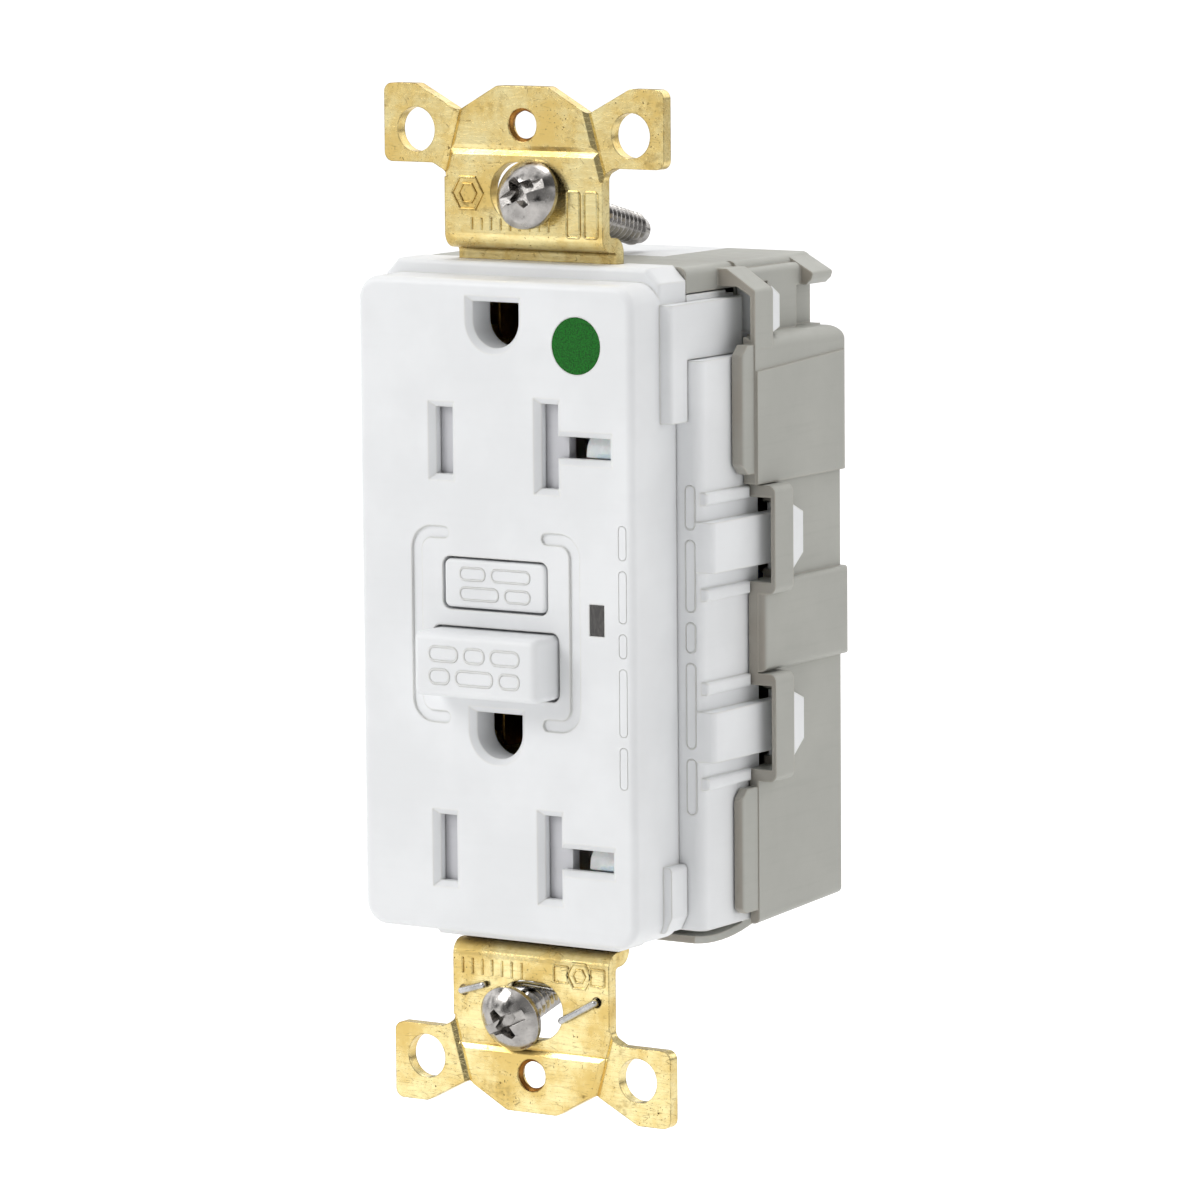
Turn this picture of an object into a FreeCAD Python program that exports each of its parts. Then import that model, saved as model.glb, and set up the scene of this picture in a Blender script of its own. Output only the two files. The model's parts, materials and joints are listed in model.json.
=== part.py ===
import FreeCAD, Part
import math
import os
import re

import Sketcher

# Duplex ground-fault receptacle, millimetres.
# X is the width (right as seen from the front), Y runs into the wall, Z is up.
# The origin is on the back plane of the strap ears, midway between the mounting screws.

DIMENSIONS = {
    # front cover
    "face_half_w": 16.5, "face_half_h": 33.2, "face_front": -7.0, "face_thick": 1.4,
    "face_corner": 2.4, "cover_wall": 1.6, "cover_back": 1.05,
    "flange_half_h": 34.6, "flange_front": -1.9, "flange_back": 3.0, "flange_corner": 1.5,
    "flange_foot_w": 10.8, "foot_out": 17.5,
    "latch_out": 17.9, "latch_thick": 1.3, "latch_leg_low": 19.2, "latch_arm_low": 25.4,
    "latch_arm_high": 31.0, "latch_arm_step": 11.4, "latch_arm_back": 12.6, "barb_out": 20.6,
    "barb_turn": 14.2,
    "barb_back": 16.0, "barb_high": 32.1,
    # outlets
    "upper_blades": 16.85, "outlet_pitch": 41.5, "blade_offset": 6.35, "ground_rise": 12.3,
    "slot_half_w": 1.0, "hot_half_h": 3.4, "neutral_half_h": 4.25, "arm_half_h": 1.1,
    "arm_reach": 7.2, "bevel": 0.6, "ground_r": 2.75, "ground_flat": 1.9, "collar_wall": 0.9,
    "collar_back": -3.3,
    # buttons, lamp and dot
    "test_half_w": 6.1, "test_half_h": 2.45, "test_z": 2.55,
    "reset_half_w": 7.4, "reset_half_h": 3.25, "reset_z": -5.3, "reset_front": -11.0,
    "button_gap": 0.25, "skirt_front": -5.55, "skirt_thick": 0.8,
    "bracket_half_w": 10.1, "bracket_high": 8.2, "bracket_low": -11.8, "bracket_arm": 3.9,
    "groove_w": 1.2, "groove_depth": 0.25, "lens_x": 12.15, "lens_z": -0.2, "lens_half_w": 0.85,
    "lens_half_h": 1.55, "dot_x": 9.93, "dot_z": 27.1, "dot_r": 2.85,
    # mounting strap
    "strap_thick": 1.3, "strap_half_h": 52.3, "strap_half_w": 9.5, "ear_half_w": 16.8,
    "ear_low": 44.35, "ear_inner": 12.85, "neck_low": 43.6, "notch_x": 7.8, "notch_z": 49.65,
    "crown_half_w": 3.05, "step_front": 35.0, "step_back": 36.65, "step_lift": 0.7,
    "inner_front": 1.24, "mount_pitch": 83.3,
    "mount_slot_half_w": 3.9, "mount_slot_half_h": 3.0, "plate_pitch": 96.84,
    "plate_hole_r": 1.70, "ear_hole_x": 12.9, "ear_hole_z": 47.66, "ear_hole_r": 2.27,
    "spine_half_w": 3.6, "score_w": 1.0, "score_depth": 0.3,
    # mounting screws
    "screw_head_r": 3.5, "screw_head_h": 2.2, "screw_thread_r": 1.72, "screw_length": 21.6,
    "screw_tilt": 13.5, "slot_turn": 25.0, "slot_w": 1.05, "star_turn": 39.0, "star_r": 1.95,
    "star_depth": 1.5,
    # middle housing
    "housing_half_w": 19.3, "housing_wall": 1.5, "housing_half_h": 31.3, "housing_front": 1.15,
    "housing_back": 11.9, "web_front": 3.6, "web_thick": 1.2, "hook_high": 6.65,
    "hook_pitch": 19.1, "hook_half_h": 2.55, "hook_out": 20.8, "hook_catch": 13.45,
    "hook_back": 17.9, "hook_barb_out": 22.4,
    "hook_barb_low": 3.4, "hook_barb_end": 2.1, "rib_out": 19.85, "rib_h": 1.25,
    # back body
    "body_back": 26.35, "body_wall": 1.6, "mid_half_w": 20.55, "mid_front": 9.8,
    "top_half_w": 20.9, "panel_half_w": 21.1, "pad_half_w": 21.4, "strip_front": 6.8,
    "strip_back": 9.0, "shelf_z": 27.1, "top_zone_low": 12.3, "body_low": 31.75,
    "body_drop": 0.88, "cap_half_w": 16.5, "cap_low": 31.8, "cap_top": 34.4, "cap_front": 3.1,
    "skirt_gap": 0.2, "tower_half_w": 18.0, "tower_step": 21.7, "hood_front": 22.5,
    "loop_out": 22.65, "loop_bar": 0.5, "loop_depth": 3.5, "loop_half_h": 5.5,
    "loop_window": 4.3, "bail_bar": 0.55, "bail_depth": 3.45,
    # inside
    "board_front": 12.1, "board_thick": 1.2, "board_half_w": 17.0, "shutter_travel": 2.8,
    "trip_travel": 1.2, "stem_r": 1.2, "sheet_thick": 0.6,
}

doc = FreeCAD.newDocument("gfci_outlet")
sheet = doc.addObject("Spreadsheet::Sheet", "Dims")
for row, (alias, value) in enumerate(DIMENSIONS.items(), start=1):
    sheet.set(f"A{row}", alias)
    sheet.set(f"B{row}", str(value))
    sheet.setAlias(f"B{row}", alias)
doc.recompute()

AXES = {"x": FreeCAD.Vector(1, 0, 0), "y": FreeCAD.Vector(0, 1, 0), "z": FreeCAD.Vector(0, 0, 1)}
ORIGIN = FreeCAD.Vector(0, 0, 0)
WORD = re.compile(r"\b[a-z][a-z_]*[a-z]\b")
nodes = {}


# ---------------------------------------------------------------- shared helpers

def cells(text):
    """The expression with every dimension name pointed at the sheet."""
    return WORD.sub(lambda m: "Dims." + m.group() if m.group() in DIMENSIONS else m.group(), str(text))


def size(text):
    """The number an expression gives, for geometry that code has to place itself."""
    total = doc.getObject("Dims").evalExpression(cells(text))
    return float(total)


def bind(obj, **expressions):
    """Bind properties to the sheet; a double underscore stands for a dot."""
    for name, text in expressions.items():
        obj.setExpression(name.replace("__", "."), cells(text))
    return obj


def place(obj, x="0", y="0", z="0"):
    return bind(obj, Placement__Base__x=x, Placement__Base__y=y, Placement__Base__z=z)


def block(name, x, y, z):
    """A box between two values on each axis."""
    box = doc.addObject("Part::Box", name)
    bind(box, Length=f"({x[1]}) - ({x[0]})", Width=f"({y[1]}) - ({y[0]})", Height=f"({z[1]}) - ({z[0]})")
    return place(box, x[0], y[0], z[0])


def rod(name, radius, axis, start, end, u="0", v="0"):
    """A cylinder along an axis; u and v are the other two coordinates in X, Y, Z order."""
    cylinder = doc.addObject("Part::Cylinder", name)
    cylinder.Placement.Rotation = FreeCAD.Rotation(AXES["z"], AXES[axis])
    bind(cylinder, Radius=radius, Height=f"({end}) - ({start})")
    spot = {"x": (start, u, v), "y": (u, start, v), "z": (u, v, start)}[axis]
    return place(cylinder, *spot)


def cone(name, r_start, r_end, start, end, x="0", z="0"):
    """A cone along Y."""
    obj = doc.addObject("Part::Cone", name)
    obj.Placement.Rotation = FreeCAD.Rotation(AXES["z"], AXES["y"])
    bind(obj, Radius1=r_start, Radius2=r_end, Height=f"({end}) - ({start})")
    return place(obj, x, start, z)


def wedge(name, y, x_start, z_start, x_end, z_end):
    """A four-sided frustum along Y, from one rectangle to another."""
    obj = doc.addObject("Part::Wedge", name)
    return bind(obj, Ymin=y[0], Ymax=y[1], Xmin=x_start[0], Xmax=x_start[1], Zmin=z_start[0],
                Zmax=z_start[1], X2min=x_end[0], X2max=x_end[1], Z2min=z_end[0], Z2max=z_end[1])


def fuse(name, parts):
    if len(parts) == 1:
        return parts[0]
    obj = doc.addObject("Part::MultiFuse", name)
    obj.Shapes = parts
    obj.Refine = True
    return obj


def cut(name, base, tools):
    obj = doc.addObject("Part::Cut", name)
    obj.Base = base
    obj.Tool = fuse(name + "_tools", tools)
    obj.Refine = True
    return obj


def common(name, first, second):
    obj = doc.addObject("Part::Common", name)
    obj.Base = first
    obj.Tool = second
    return obj


def rounded(name, base, radius, pick):
    """Fillet the edges of base that pick() accepts."""
    doc.recompute()
    chosen = [i for i, edge in enumerate(base.Shape.Edges, start=1) if pick(edge)]
    obj = doc.addObject("Part::Fillet", name)
    obj.Base = base
    obj.Edges = [(i, radius, radius) for i in chosen]
    doc.recompute()
    if not chosen or obj.Shape.isNull() or not obj.Shape.isValid():
        raise RuntimeError(f"{name}: fillet of {len(chosen)} edges failed")
    return obj


def along(axis):
    """A test for straight edges that run along an axis."""
    return lambda edge: (edge.Curve.TypeId == "Part::GeomLine"
                         and abs(edge.Curve.Direction.dot(AXES[axis])) > 0.999)


def flat_at(axis, value):
    """A test for edges that lie wholly at one value on an axis."""
    low, high = axis.upper() + "Min", axis.upper() + "Max"
    return lambda edge: (abs(getattr(edge.BoundBox, low) - value) < 1e-3
                         and abs(getattr(edge.BoundBox, high) - value) < 1e-3)


PLANES = {"x": "YZ_Plane", "y": "XZ_Plane", "z": "XY_Plane"}


def padded(name, outline, axis, low, high, corner=None):
    """A PartDesign body: a closed outline of straight lines, padded along an axis.

    The outline's points are pairs of expressions in the plane's own order (YZ, XZ or XY).
    """
    body = doc.addObject("PartDesign::Body", name)
    sketch = body.newObject("Sketcher::SketchObject", name + "_sketch")
    plane = next(o for o in body.Origin.OriginFeatures if o.Role == PLANES[axis])
    sketch.AttachmentSupport = [(plane, "")]
    sketch.MapMode = "FlatFace"
    # the XZ plane's normal is -Y, so that sketch sits at the far end and pads back
    offset = f"-({high})" if axis == "y" else low
    bind(sketch, AttachmentOffset__Base__z=offset)
    spots = [(size(u), size(v)) for u, v in outline]
    count = len(spots)
    for i, (u, v) in enumerate(spots):
        end = spots[(i + 1) % count]
        sketch.addGeometry(Part.LineSegment(FreeCAD.Vector(u, v, 0), FreeCAD.Vector(*end, 0)), False)
    for i in range(count):
        sketch.addConstraint(Sketcher.Constraint("Coincident", i, 2, (i + 1) % count, 1))
    for i, pair in enumerate(outline):
        for kind, text, number in zip(("DistanceX", "DistanceY"), pair, spots[i]):
            index = sketch.addConstraint(Sketcher.Constraint(kind, -1, 1, i, 1, number))
            sketch.setExpression(f"Constraints[{index}]", cells(text))
    pad = body.newObject("PartDesign::Pad", name + "_pad")
    pad.Profile = sketch
    bind(pad, Length=f"({high}) - ({low})")
    body.Tip = pad
    if corner:
        doc.recompute()
        edges = [f"Edge{i}" for i, e in enumerate(pad.Shape.Edges, start=1) if along(axis)(e)]
        fillet = body.newObject("PartDesign::Fillet", name + "_corners")
        fillet.Base = (pad, edges)
        bind(fillet, Radius=corner)
        body.Tip = fillet
    return body


def rectangle(u, v):
    return [(u[0], v[0]), (u[1], v[0]), (u[1], v[1]), (u[0], v[1])]


def mirrored(obj):
    """The same piece on the other side of the X = 0 plane."""
    copy = doc.addObject("Part::Mirroring", obj.Name + "_left")
    copy.Source = obj
    copy.Normal = AXES["x"]
    return copy


def flipped(obj):
    """The same piece on the other side of the Z = 0 plane."""
    copy = doc.addObject("Part::Mirroring", obj.Name + "_low")
    copy.Source = obj
    copy.Normal = AXES["z"]
    return copy


def both_sides(obj):
    return [obj, mirrored(obj)]


def node(label, obj):
    """Name a finished sub-part and put it on the list of files."""
    obj.Label = label
    nodes[label] = obj
    return obj


def shaped(label, shape):
    """A sub-part whose solid is worked out by code rather than by features."""
    obj = doc.addObject("Part::Feature", label)
    obj.Shape = shape
    return node(label, obj)


def coil_spring(label, centre, axis, length, radius, wire_r, turns):
    """A round-wire compression spring that starts at centre and runs along an axis."""
    pitch = (length - 2 * wire_r) / turns
    helix = Part.makeLongHelix(pitch, length - 2 * wire_r, radius)  # one edge per turn
    start = FreeCAD.Vector(radius, 0, 0)
    profile = Part.Wire([Part.makeCircle(wire_r, start, FreeCAD.Vector(0, 1, 0))])
    sweep = Part.Wire(helix.Edges).makePipeShell([profile], True, True)
    obj = shaped(label, sweep)
    obj.Placement = FreeCAD.Placement(FreeCAD.Vector(*centre) + AXES[axis] * wire_r,
                                      FreeCAD.Rotation(AXES["z"], AXES[axis]))
    return obj


OUTLETS = {"upper": "upper_blades", "lower": "(upper_blades - outlet_pitch)"}
GROUNDS = {name: f"({z} + ground_rise)" for name, z in OUTLETS.items()}
HOOKS = {"upper": "hook_high", "lower": "(hook_high - hook_pitch)"}
RIVETS = ("(ground_r + 2.2)", "-(ground_r + 2.2)")
WIRE_HOLES = (("-8.2", "-40.3"), ("8.0", "-40.1"))


# ---------------------------------------------------------------- front cover

def front_latch():
    """The L-shaped snap at the top of each side: a leg, and an arm that ends in a barb."""
    inner = "(latch_out - latch_thick)"
    leg = block("latch_leg", ("face_half_w - 0.3", "latch_out"), ("flange_front", "cover_back"),
                ("latch_leg_low", "latch_arm_high"))
    height = ("latch_arm_low", "latch_arm_high")
    arm = block("latch_arm", (inner, "latch_out"), ("flange_front", "latch_arm_step"), height)
    tongue = block("latch_tongue", (inner, f"{inner} + 0.5"), ("latch_arm_step", "barb_back"), height)
    turn = ("shelf_z + 0.7", "barb_high - 1")
    catch = wedge("latch_catch", ("latch_arm_back", "barb_turn"), (inner, "barb_out"),
                  ("shelf_z + 0.15", "barb_high"), (inner, "barb_out"), turn)
    ramp = wedge("latch_ramp", ("barb_turn", "barb_back"), (inner, "barb_out"), turn,
                 (inner, "latch_out"), turn)
    latch = fuse("latch", [leg, arm, tongue, catch, ramp])
    front = size("flange_front")
    return rounded("latch_soft", latch, 0.45,
                   lambda e: along("z")(e) and abs(e.BoundBox.YMin - front) < 1e-3
                   and e.BoundBox.XMin > size("latch_out") - 0.01)


def low_latch():
    """The foot at the bottom of each side, with a sloping lower end."""
    top, low = "-(face_half_h - 7.75)", "-(face_half_h - 1)"
    outline = [("face_half_w - 1", top), ("foot_out", top), ("foot_out", "-(face_half_h - 2.6)"),
               ("face_half_w + 0.2", low), ("face_half_w - 1", low)]
    return padded("low_latch", outline, "y", "flange_front", "cover_back", corner="0.5")


def face_slot(name, x, half_w, z, half_h):
    """One rectangular slot through the face, with a bevelled mouth."""
    hole = block(name, (f"{x} - {half_w}", f"{x} + {half_w}"), ("face_front - bevel", "face_front + 3"),
                 (f"{z} - {half_h}", f"{z} + {half_h}"))
    mouth = wedge(name + "_mouth", ("face_front - bevel", "face_front + bevel"),
                  (f"{x} - {half_w} - 2 * bevel", f"{x} + {half_w} + 2 * bevel"),
                  (f"{z} - {half_h} - 2 * bevel", f"{z} + {half_h} + 2 * bevel"),
                  (f"{x} - {half_w}", f"{x} + {half_w}"), (f"{z} - {half_h}", f"{z} + {half_h}"))
    return [hole, mouth]


def ground_prism(name, outlet, margin, front, back):
    """The ground pin's U shape, grown by a margin: round below, straight sides and a flat top."""
    z, radius = GROUNDS[outlet], f"(ground_r + {margin})"
    top = f"{z} + ground_flat + {margin}"
    disc = rod(name + "_disc", radius, "y", front, back, "0", z)
    sides = block(name + "_sides", (f"-{radius}", radius), (front, back), (z, top))
    keep = block(name + "_keep", ("-6", "6"), (front, back), (f"{z} - 6", top))
    return common(name, fuse(name + "_whole", [disc, sides]), keep)


def outlet_holes(outlet):
    """The hot slot, the T-shaped neutral slot and the U-shaped ground hole of one outlet."""
    z, ground = OUTLETS[outlet], GROUNDS[outlet]
    holes = face_slot(f"{outlet}_hot", "(-blade_offset)", "slot_half_w", z, "hot_half_h")
    holes += face_slot(f"{outlet}_neutral", "blade_offset", "slot_half_w", z, "neutral_half_h")
    reach = "(arm_reach / 2)"
    holes += face_slot(f"{outlet}_arm", f"(blade_offset + {reach})", reach, z, "arm_half_h")
    holes.append(ground_prism(f"{outlet}_ground_hole", outlet, "0", "face_front - bevel",
                              "collar_back + 1"))
    mouth = ("face_front - bevel", "face_front + bevel")
    wide, top = "(ground_r + 2 * bevel)", f"{ground} + ground_flat"
    bevel = cone(f"{outlet}_ground_bevel", wide, "ground_r", *mouth, "0", ground)
    sides = wedge(f"{outlet}_ground_sides", mouth, (f"-{wide}", wide), (ground, f"{top} + 2 * bevel"),
                  ("-ground_r", "ground_r"), (ground, top))
    keep = wedge(f"{outlet}_ground_keep", mouth, ("-6", "6"), (f"{ground} - 6", f"{top} + 2 * bevel"),
                 ("-6", "6"), (f"{ground} - 6", top))
    holes.append(common(f"{outlet}_ground_mouth", fuse(f"{outlet}_ground_whole", [bevel, sides]), keep))
    return holes


def button_hole(name, half_w, half_h, z):
    outline = rectangle((f"-({half_w} + button_gap)", f"{half_w} + button_gap"),
                        (f"{z} - {half_h} - button_gap", f"{z} + {half_h} + button_gap"))
    return padded(name, outline, "y", "face_front - 1", "face_front + 3", corner="0.9")


def bracket_grooves():
    """The pair of shallow square-bracket grooves either side of the buttons."""
    depth = ("face_front - 1", "face_front + groove_depth")
    outer = padded("bracket_outer",
                   rectangle(("-bracket_half_w", "bracket_half_w"), ("bracket_low", "bracket_high")),
                   "y", *depth, corner="2.4")
    inner = padded("bracket_inner",
                   rectangle(("-(bracket_half_w - groove_w)", "bracket_half_w - groove_w"),
                             ("bracket_low + groove_w", "bracket_high - groove_w")),
                   "y", *depth, corner="1.2")
    end = "(bracket_half_w - bracket_arm)"
    gap = block("bracket_gap", (f"-{end}", end), depth, ("bracket_low - 1", "bracket_high + 1"))
    tips = [rod("bracket_tip", "groove_w / 2", "y", *depth, x, z) for x in (end, "-" + end)
            for z in ("bracket_low + groove_w / 2", "bracket_high - groove_w / 2")]
    return fuse("bracket_grooves", [cut("bracket_arms", outer, [inner, gap])] + tips)


def cover_flanges():
    """The lips above and below the face that hold the strap: square above, tapered below."""
    low, high, side = "(face_half_h - 2.4)", "flange_half_h", "face_half_w"
    corner = f"({side} - flange_corner)"
    upper = [(f"-{side}", low), (side, low), (side, f"{high} - flange_corner"), (corner, high),
             (f"-{corner}", high), (f"-{side}", f"{high} - flange_corner")]
    lower = [(f"-({side} - 1.9)", f"-{low}"), ("-flange_foot_w", f"-{high}"),
             ("flange_foot_w", f"-{high}"), (f"{side} - 1.9", f"-{low}")]
    front, face_high = size("flange_front"), size("face_half_h - 1")
    for name, outline in (("flange_upper", upper), ("flange_lower", lower)):
        lip = padded(name, outline, "y", "flange_front", "flange_back")
        yield rounded(name + "_soft", lip, 0.5, lambda e: (
            abs(e.BoundBox.YMax - front) < 1e-3
            and max(e.BoundBox.ZMax, -e.BoundBox.ZMin) > face_high))


def front_cover():
    outline = rectangle(("-face_half_w", "face_half_w"), ("-face_half_h", "face_half_h"))
    face = padded("cover_face", outline, "y", "face_front", "cover_back", corner="face_corner")
    face = rounded("cover_rim", face, 0.8, flat_at("y", size("face_front")))
    snaps = both_sides(front_latch()) + both_sides(low_latch())
    shell = fuse("cover_shell", [face, *cover_flanges()] + snaps)
    inner = "(face_half_w - cover_wall)"
    cavity = block("cover_cavity", (f"-{inner}", inner), ("face_front + face_thick", "flange_back + 1"),
                   ("-(housing_half_h + 0.05)", "housing_half_h + 0.05"))
    notch = block("strap_notch", ("-(strap_half_w + 0.2)", "strap_half_w + 0.2"),
                  ("inner_front - 0.1", "flange_back + 1"), ("-40", "40"))
    hollow = cut("cover_hollow", shell, [cavity, notch, bracket_grooves()])
    collars = [ground_prism(f"{outlet}_collar", outlet, "collar_wall", "face_front + bevel",
                            "collar_back") for outlet in OUTLETS]
    holes = []
    for outlet in OUTLETS:
        holes += outlet_holes(outlet)
    holes.append(button_hole("test_hole", "test_half_w", "test_half_h", "test_z"))
    holes.append(button_hole("reset_hole", "reset_half_w", "reset_half_h", "reset_z"))
    holes.append(block("lens_hole", ("lens_x - lens_half_w - 0.03", "lens_x + lens_half_w + 0.03"),
                       ("face_front - 1", "face_front + 3"),
                       ("lens_z - lens_half_h - 0.03", "lens_z + lens_half_h + 0.03")))
    holes.append(rod("dot_recess", "dot_r + 0.02", "y", "face_front - 1", "face_front + 0.4",
                     "dot_x", "dot_z"))
    return node("front_cover", cut("cover", fuse("cover_body", [hollow] + collars), holes))


def face_inserts():
    node("hospital_dot", rod("dot", "dot_r", "y", "face_front - 0.02", "face_front + 0.4",
                             "dot_x", "dot_z"))
    pipe = padded("lens", rectangle(("lens_x - lens_half_w", "lens_x + lens_half_w"),
                                    ("lens_z - lens_half_h", "lens_z + lens_half_h")),
                  "y", "face_front + 0.05", "8.6", corner="0.3")
    node("status_lens", pipe)


# ---------------------------------------------------------------- buttons

def button(label, half_w, half_h, z, front, edge, stem_back):
    """A push button: cap, skirt that keeps it behind the face, and stem."""
    outline = rectangle((f"-{half_w}", half_w), (f"{z} - {half_h}", f"{z} + {half_h}"))
    cap = padded(label + "_cap", outline, "y", front, "skirt_front + 0.2", corner="0.7")
    cap = rounded(label + "_soft", cap, edge, flat_at("y", size(front)))
    skirt = block(label + "_skirt", (f"-({half_w} + 0.7)", f"{half_w} + 0.7"),
                  ("skirt_front", "skirt_front + skirt_thick"),
                  (f"{z} - {half_h} - 0.65", f"{z} + {half_h} + 0.65"))
    stem = rod(label + "_stem", "stem_r", "y", "skirt_front", stem_back, "0", z)
    return node(label, fuse(label + "_all", [cap, skirt, stem]))


def buttons():
    button("test_button", "test_half_w", "test_half_h", "test_z", "face_front - 0.1", 0.35, "8.4")
    button("reset_button", "reset_half_w", "reset_half_h", "reset_z", "reset_front", 0.8, "11.8")
    seat = size("skirt_front + skirt_thick")
    reach = size("inner_front") - seat
    for name in ("test", "reset"):
        coil_spring(name + "_spring", (0, seat, size(name + "_z")), "y", reach, 1.75, 0.18, 5)


# ---------------------------------------------------------------- mounting strap

def strap_outline():
    """The flat pattern: ears, crown and neck, the same in all four quarters."""
    quarter = [("crown_half_w", "strap_half_h"), ("notch_x", "notch_z"),
               ("ear_inner", "strap_half_h"), ("ear_half_w", "strap_half_h"),
               ("ear_half_w", "ear_low"), ("ear_inner - 1.95", "ear_low"),
               ("strap_half_w", "neck_low")]
    right = quarter + [(u, f"-({v})") for u, v in reversed(quarter)]
    return right + [(f"-({u})", v) for u, v in reversed(right)]


def strap_profile():
    """The side view: both ends step forward, so the middle passes behind the cover."""
    def end(sign, lift):
        heights = [("-strap_thick", "strap_half_h + 1"), ("-strap_thick", f"step_front + {lift}"),
                   ("inner_front", f"step_front + {lift} + 0.1"),
                   ("inner_front + strap_thick", f"step_back + {lift} - 0.2"),
                   ("0", f"step_back + {lift}"), ("0", "strap_half_h + 1")]
        return [(y, f"{sign}({z})") for y, z in heights]

    upper, lower = end("", "step_lift"), end("-", "0")
    return upper[:3] + lower[2::-1] + lower[:2:-1] + upper[3:]


def v_groove(name, start, end):
    """A V along the strap's front face, from one X, Z point to another."""
    front, deep, above = size("-strap_thick"), size("score_depth"), 0.1
    a, b = [FreeCAD.Vector(x, front, z) for x, z in (start, end)]
    side = (b - a).cross(AXES["y"]).normalize() * (size("score_w / 2") * (deep + above) / deep)
    rim = [a + side - AXES["y"] * above, a - side - AXES["y"] * above]
    corners = rim + [a + AXES["y"] * deep, rim[0]]
    groove = doc.addObject("Part::Feature", name)
    groove.Shape = Part.Face(Part.makePolygon(corners)).extrude(b - a)
    return groove


def score_lines():
    """The grooves along which the ears break off."""
    half, across_z = size("strap_half_w - 0.4"), size("ear_low + 1.5")
    across = v_groove("score_across", (-half, across_z), (half, across_z))
    top = FreeCAD.Vector(size("notch_x"), 0, size("notch_z"))
    low = FreeCAD.Vector(size("strap_half_w"), 0, size("neck_low"))
    past = (top - low).normalize() * 0.6
    top, low = top + past, low - past
    grooves = [across] + both_sides(v_groove("score_slant", (top.x, top.z), (low.x, low.z)))
    return grooves + [flipped(g) for g in grooves]


def mounting_strap():
    flat = padded("strap_flat", strap_outline(), "y", "-5", "5", corner="0.95")
    bent = padded("strap_bent", strap_profile(), "x", "-ear_half_w - 1", "ear_half_w + 1")
    strap = common("strap_blank", flat, bent)

    def bends(*depths):
        low, high = size("step_front - 1"), size("step_back + step_lift + 1")
        return lambda e: (along("x")(e) and low < abs(e.BoundBox.ZMin) < high
                          and min(abs(e.BoundBox.YMin - y) for y in depths) < 1e-3)

    strap = rounded("strap_bends_out", strap, 1.6,
                    bends(size("-strap_thick"), size("inner_front + strap_thick")))
    strap = rounded("strap_bends_in", strap, 0.5, bends(0, size("inner_front")))
    holes = score_lines()
    top = []
    for x in ("ear_hole_x", "-ear_hole_x"):
        top.append(rod("ear_hole", "ear_hole_r", "y", "-5", "5", x, "ear_hole_z"))
    top.append(rod("plate_hole", "plate_hole_r", "y", "-5", "5", "0", "plate_pitch / 2"))
    straight = "(mount_slot_half_w - mount_slot_half_h)"
    top.append(block("mount_slot", (f"-{straight}", straight), ("-5", "5"),
                     ("mount_pitch / 2 - mount_slot_half_h", "mount_pitch / 2 + mount_slot_half_h")))
    for x in (straight, "-" + straight):
        top.append(rod("mount_slot_end", "mount_slot_half_h", "y", "-5", "5", x, "mount_pitch / 2"))
    holes += top + [flipped(h) for h in top]
    for outlet, z in OUTLETS.items():
        window = block(f"{outlet}_window", ("spine_half_w", "strap_half_w + 1"), ("0", "5"),
                       (f"{z} - 6.3", f"{z} + 6.3"))
        holes += both_sides(window)
        holes.append(rod(f"{outlet}_pin_hole", "ground_r + 0.9", "y", "0", "5", "0", GROUNDS[outlet]))
        for x in RIVETS:
            holes.append(rod(f"{outlet}_rivet_hole", "0.75", "y", "0", "5", x, GROUNDS[outlet]))
    for z in ("test_z", "reset_z"):
        holes.append(rod("stem_hole", "stem_r + 0.1", "y", "0", "5", "0", z))
    for x, z in WIRE_HOLES:
        holes.append(rod("wire_hole", "0.55", "y", "-5", "5", x, z))
    return node("mounting_strap", cut("strap", strap, holes))


def self_ground_wire():
    """A spring wire behind the lower slot that presses on the mounting screw."""
    wire_r = 0.36
    front, behind = -size("strap_thick") - wire_r - 0.06, wire_r + 0.06
    (left_x, left_z), (right_x, right_z) = [(float(x), float(z)) for x, z in WIRE_HOLES]
    path = [(left_x + 2.6, front, left_z + 0.8), (left_x, front, left_z), (left_x, behind, left_z),
            (-1.7, behind, left_z + 0.9), (right_x, behind, right_z), (right_x, front, right_z),
            (right_x - 4.0, front, right_z - 2.2)]
    solids = []
    for start, end in zip(path, path[1:]):
        a, b = FreeCAD.Vector(*start), FreeCAD.Vector(*end)
        solids.append(Part.makeCylinder(wire_r, (b - a).Length, a, b - a))
    solids += [Part.makeSphere(wire_r, FreeCAD.Vector(*point)) for point in path]
    shaped("self_ground_wire", solids[0].fuse(solids[1:]).removeSplitter())


def star_recess(head_h):
    """The cross-shaped driver recess: four blunt points that narrow towards the bottom."""
    def outline(reach, y):
        points = []
        for arm in range(4):
            turn = math.radians(size("star_turn") + 90 * arm)
            for radius, angle in ((reach, -0.2), (reach, 0.2), (reach * 0.5, math.pi / 4)):
                points.append(FreeCAD.Vector(radius * math.cos(turn + angle), y,
                                             radius * math.sin(turn + angle)))
        return Part.makePolygon(points + points[:1])

    reach, above = size("star_r"), 0.3
    return Part.makeLoft([outline(reach * 1.1, -head_h - above),
                          outline(reach * 0.62, size("star_depth") - head_h)], True, True)


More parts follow.
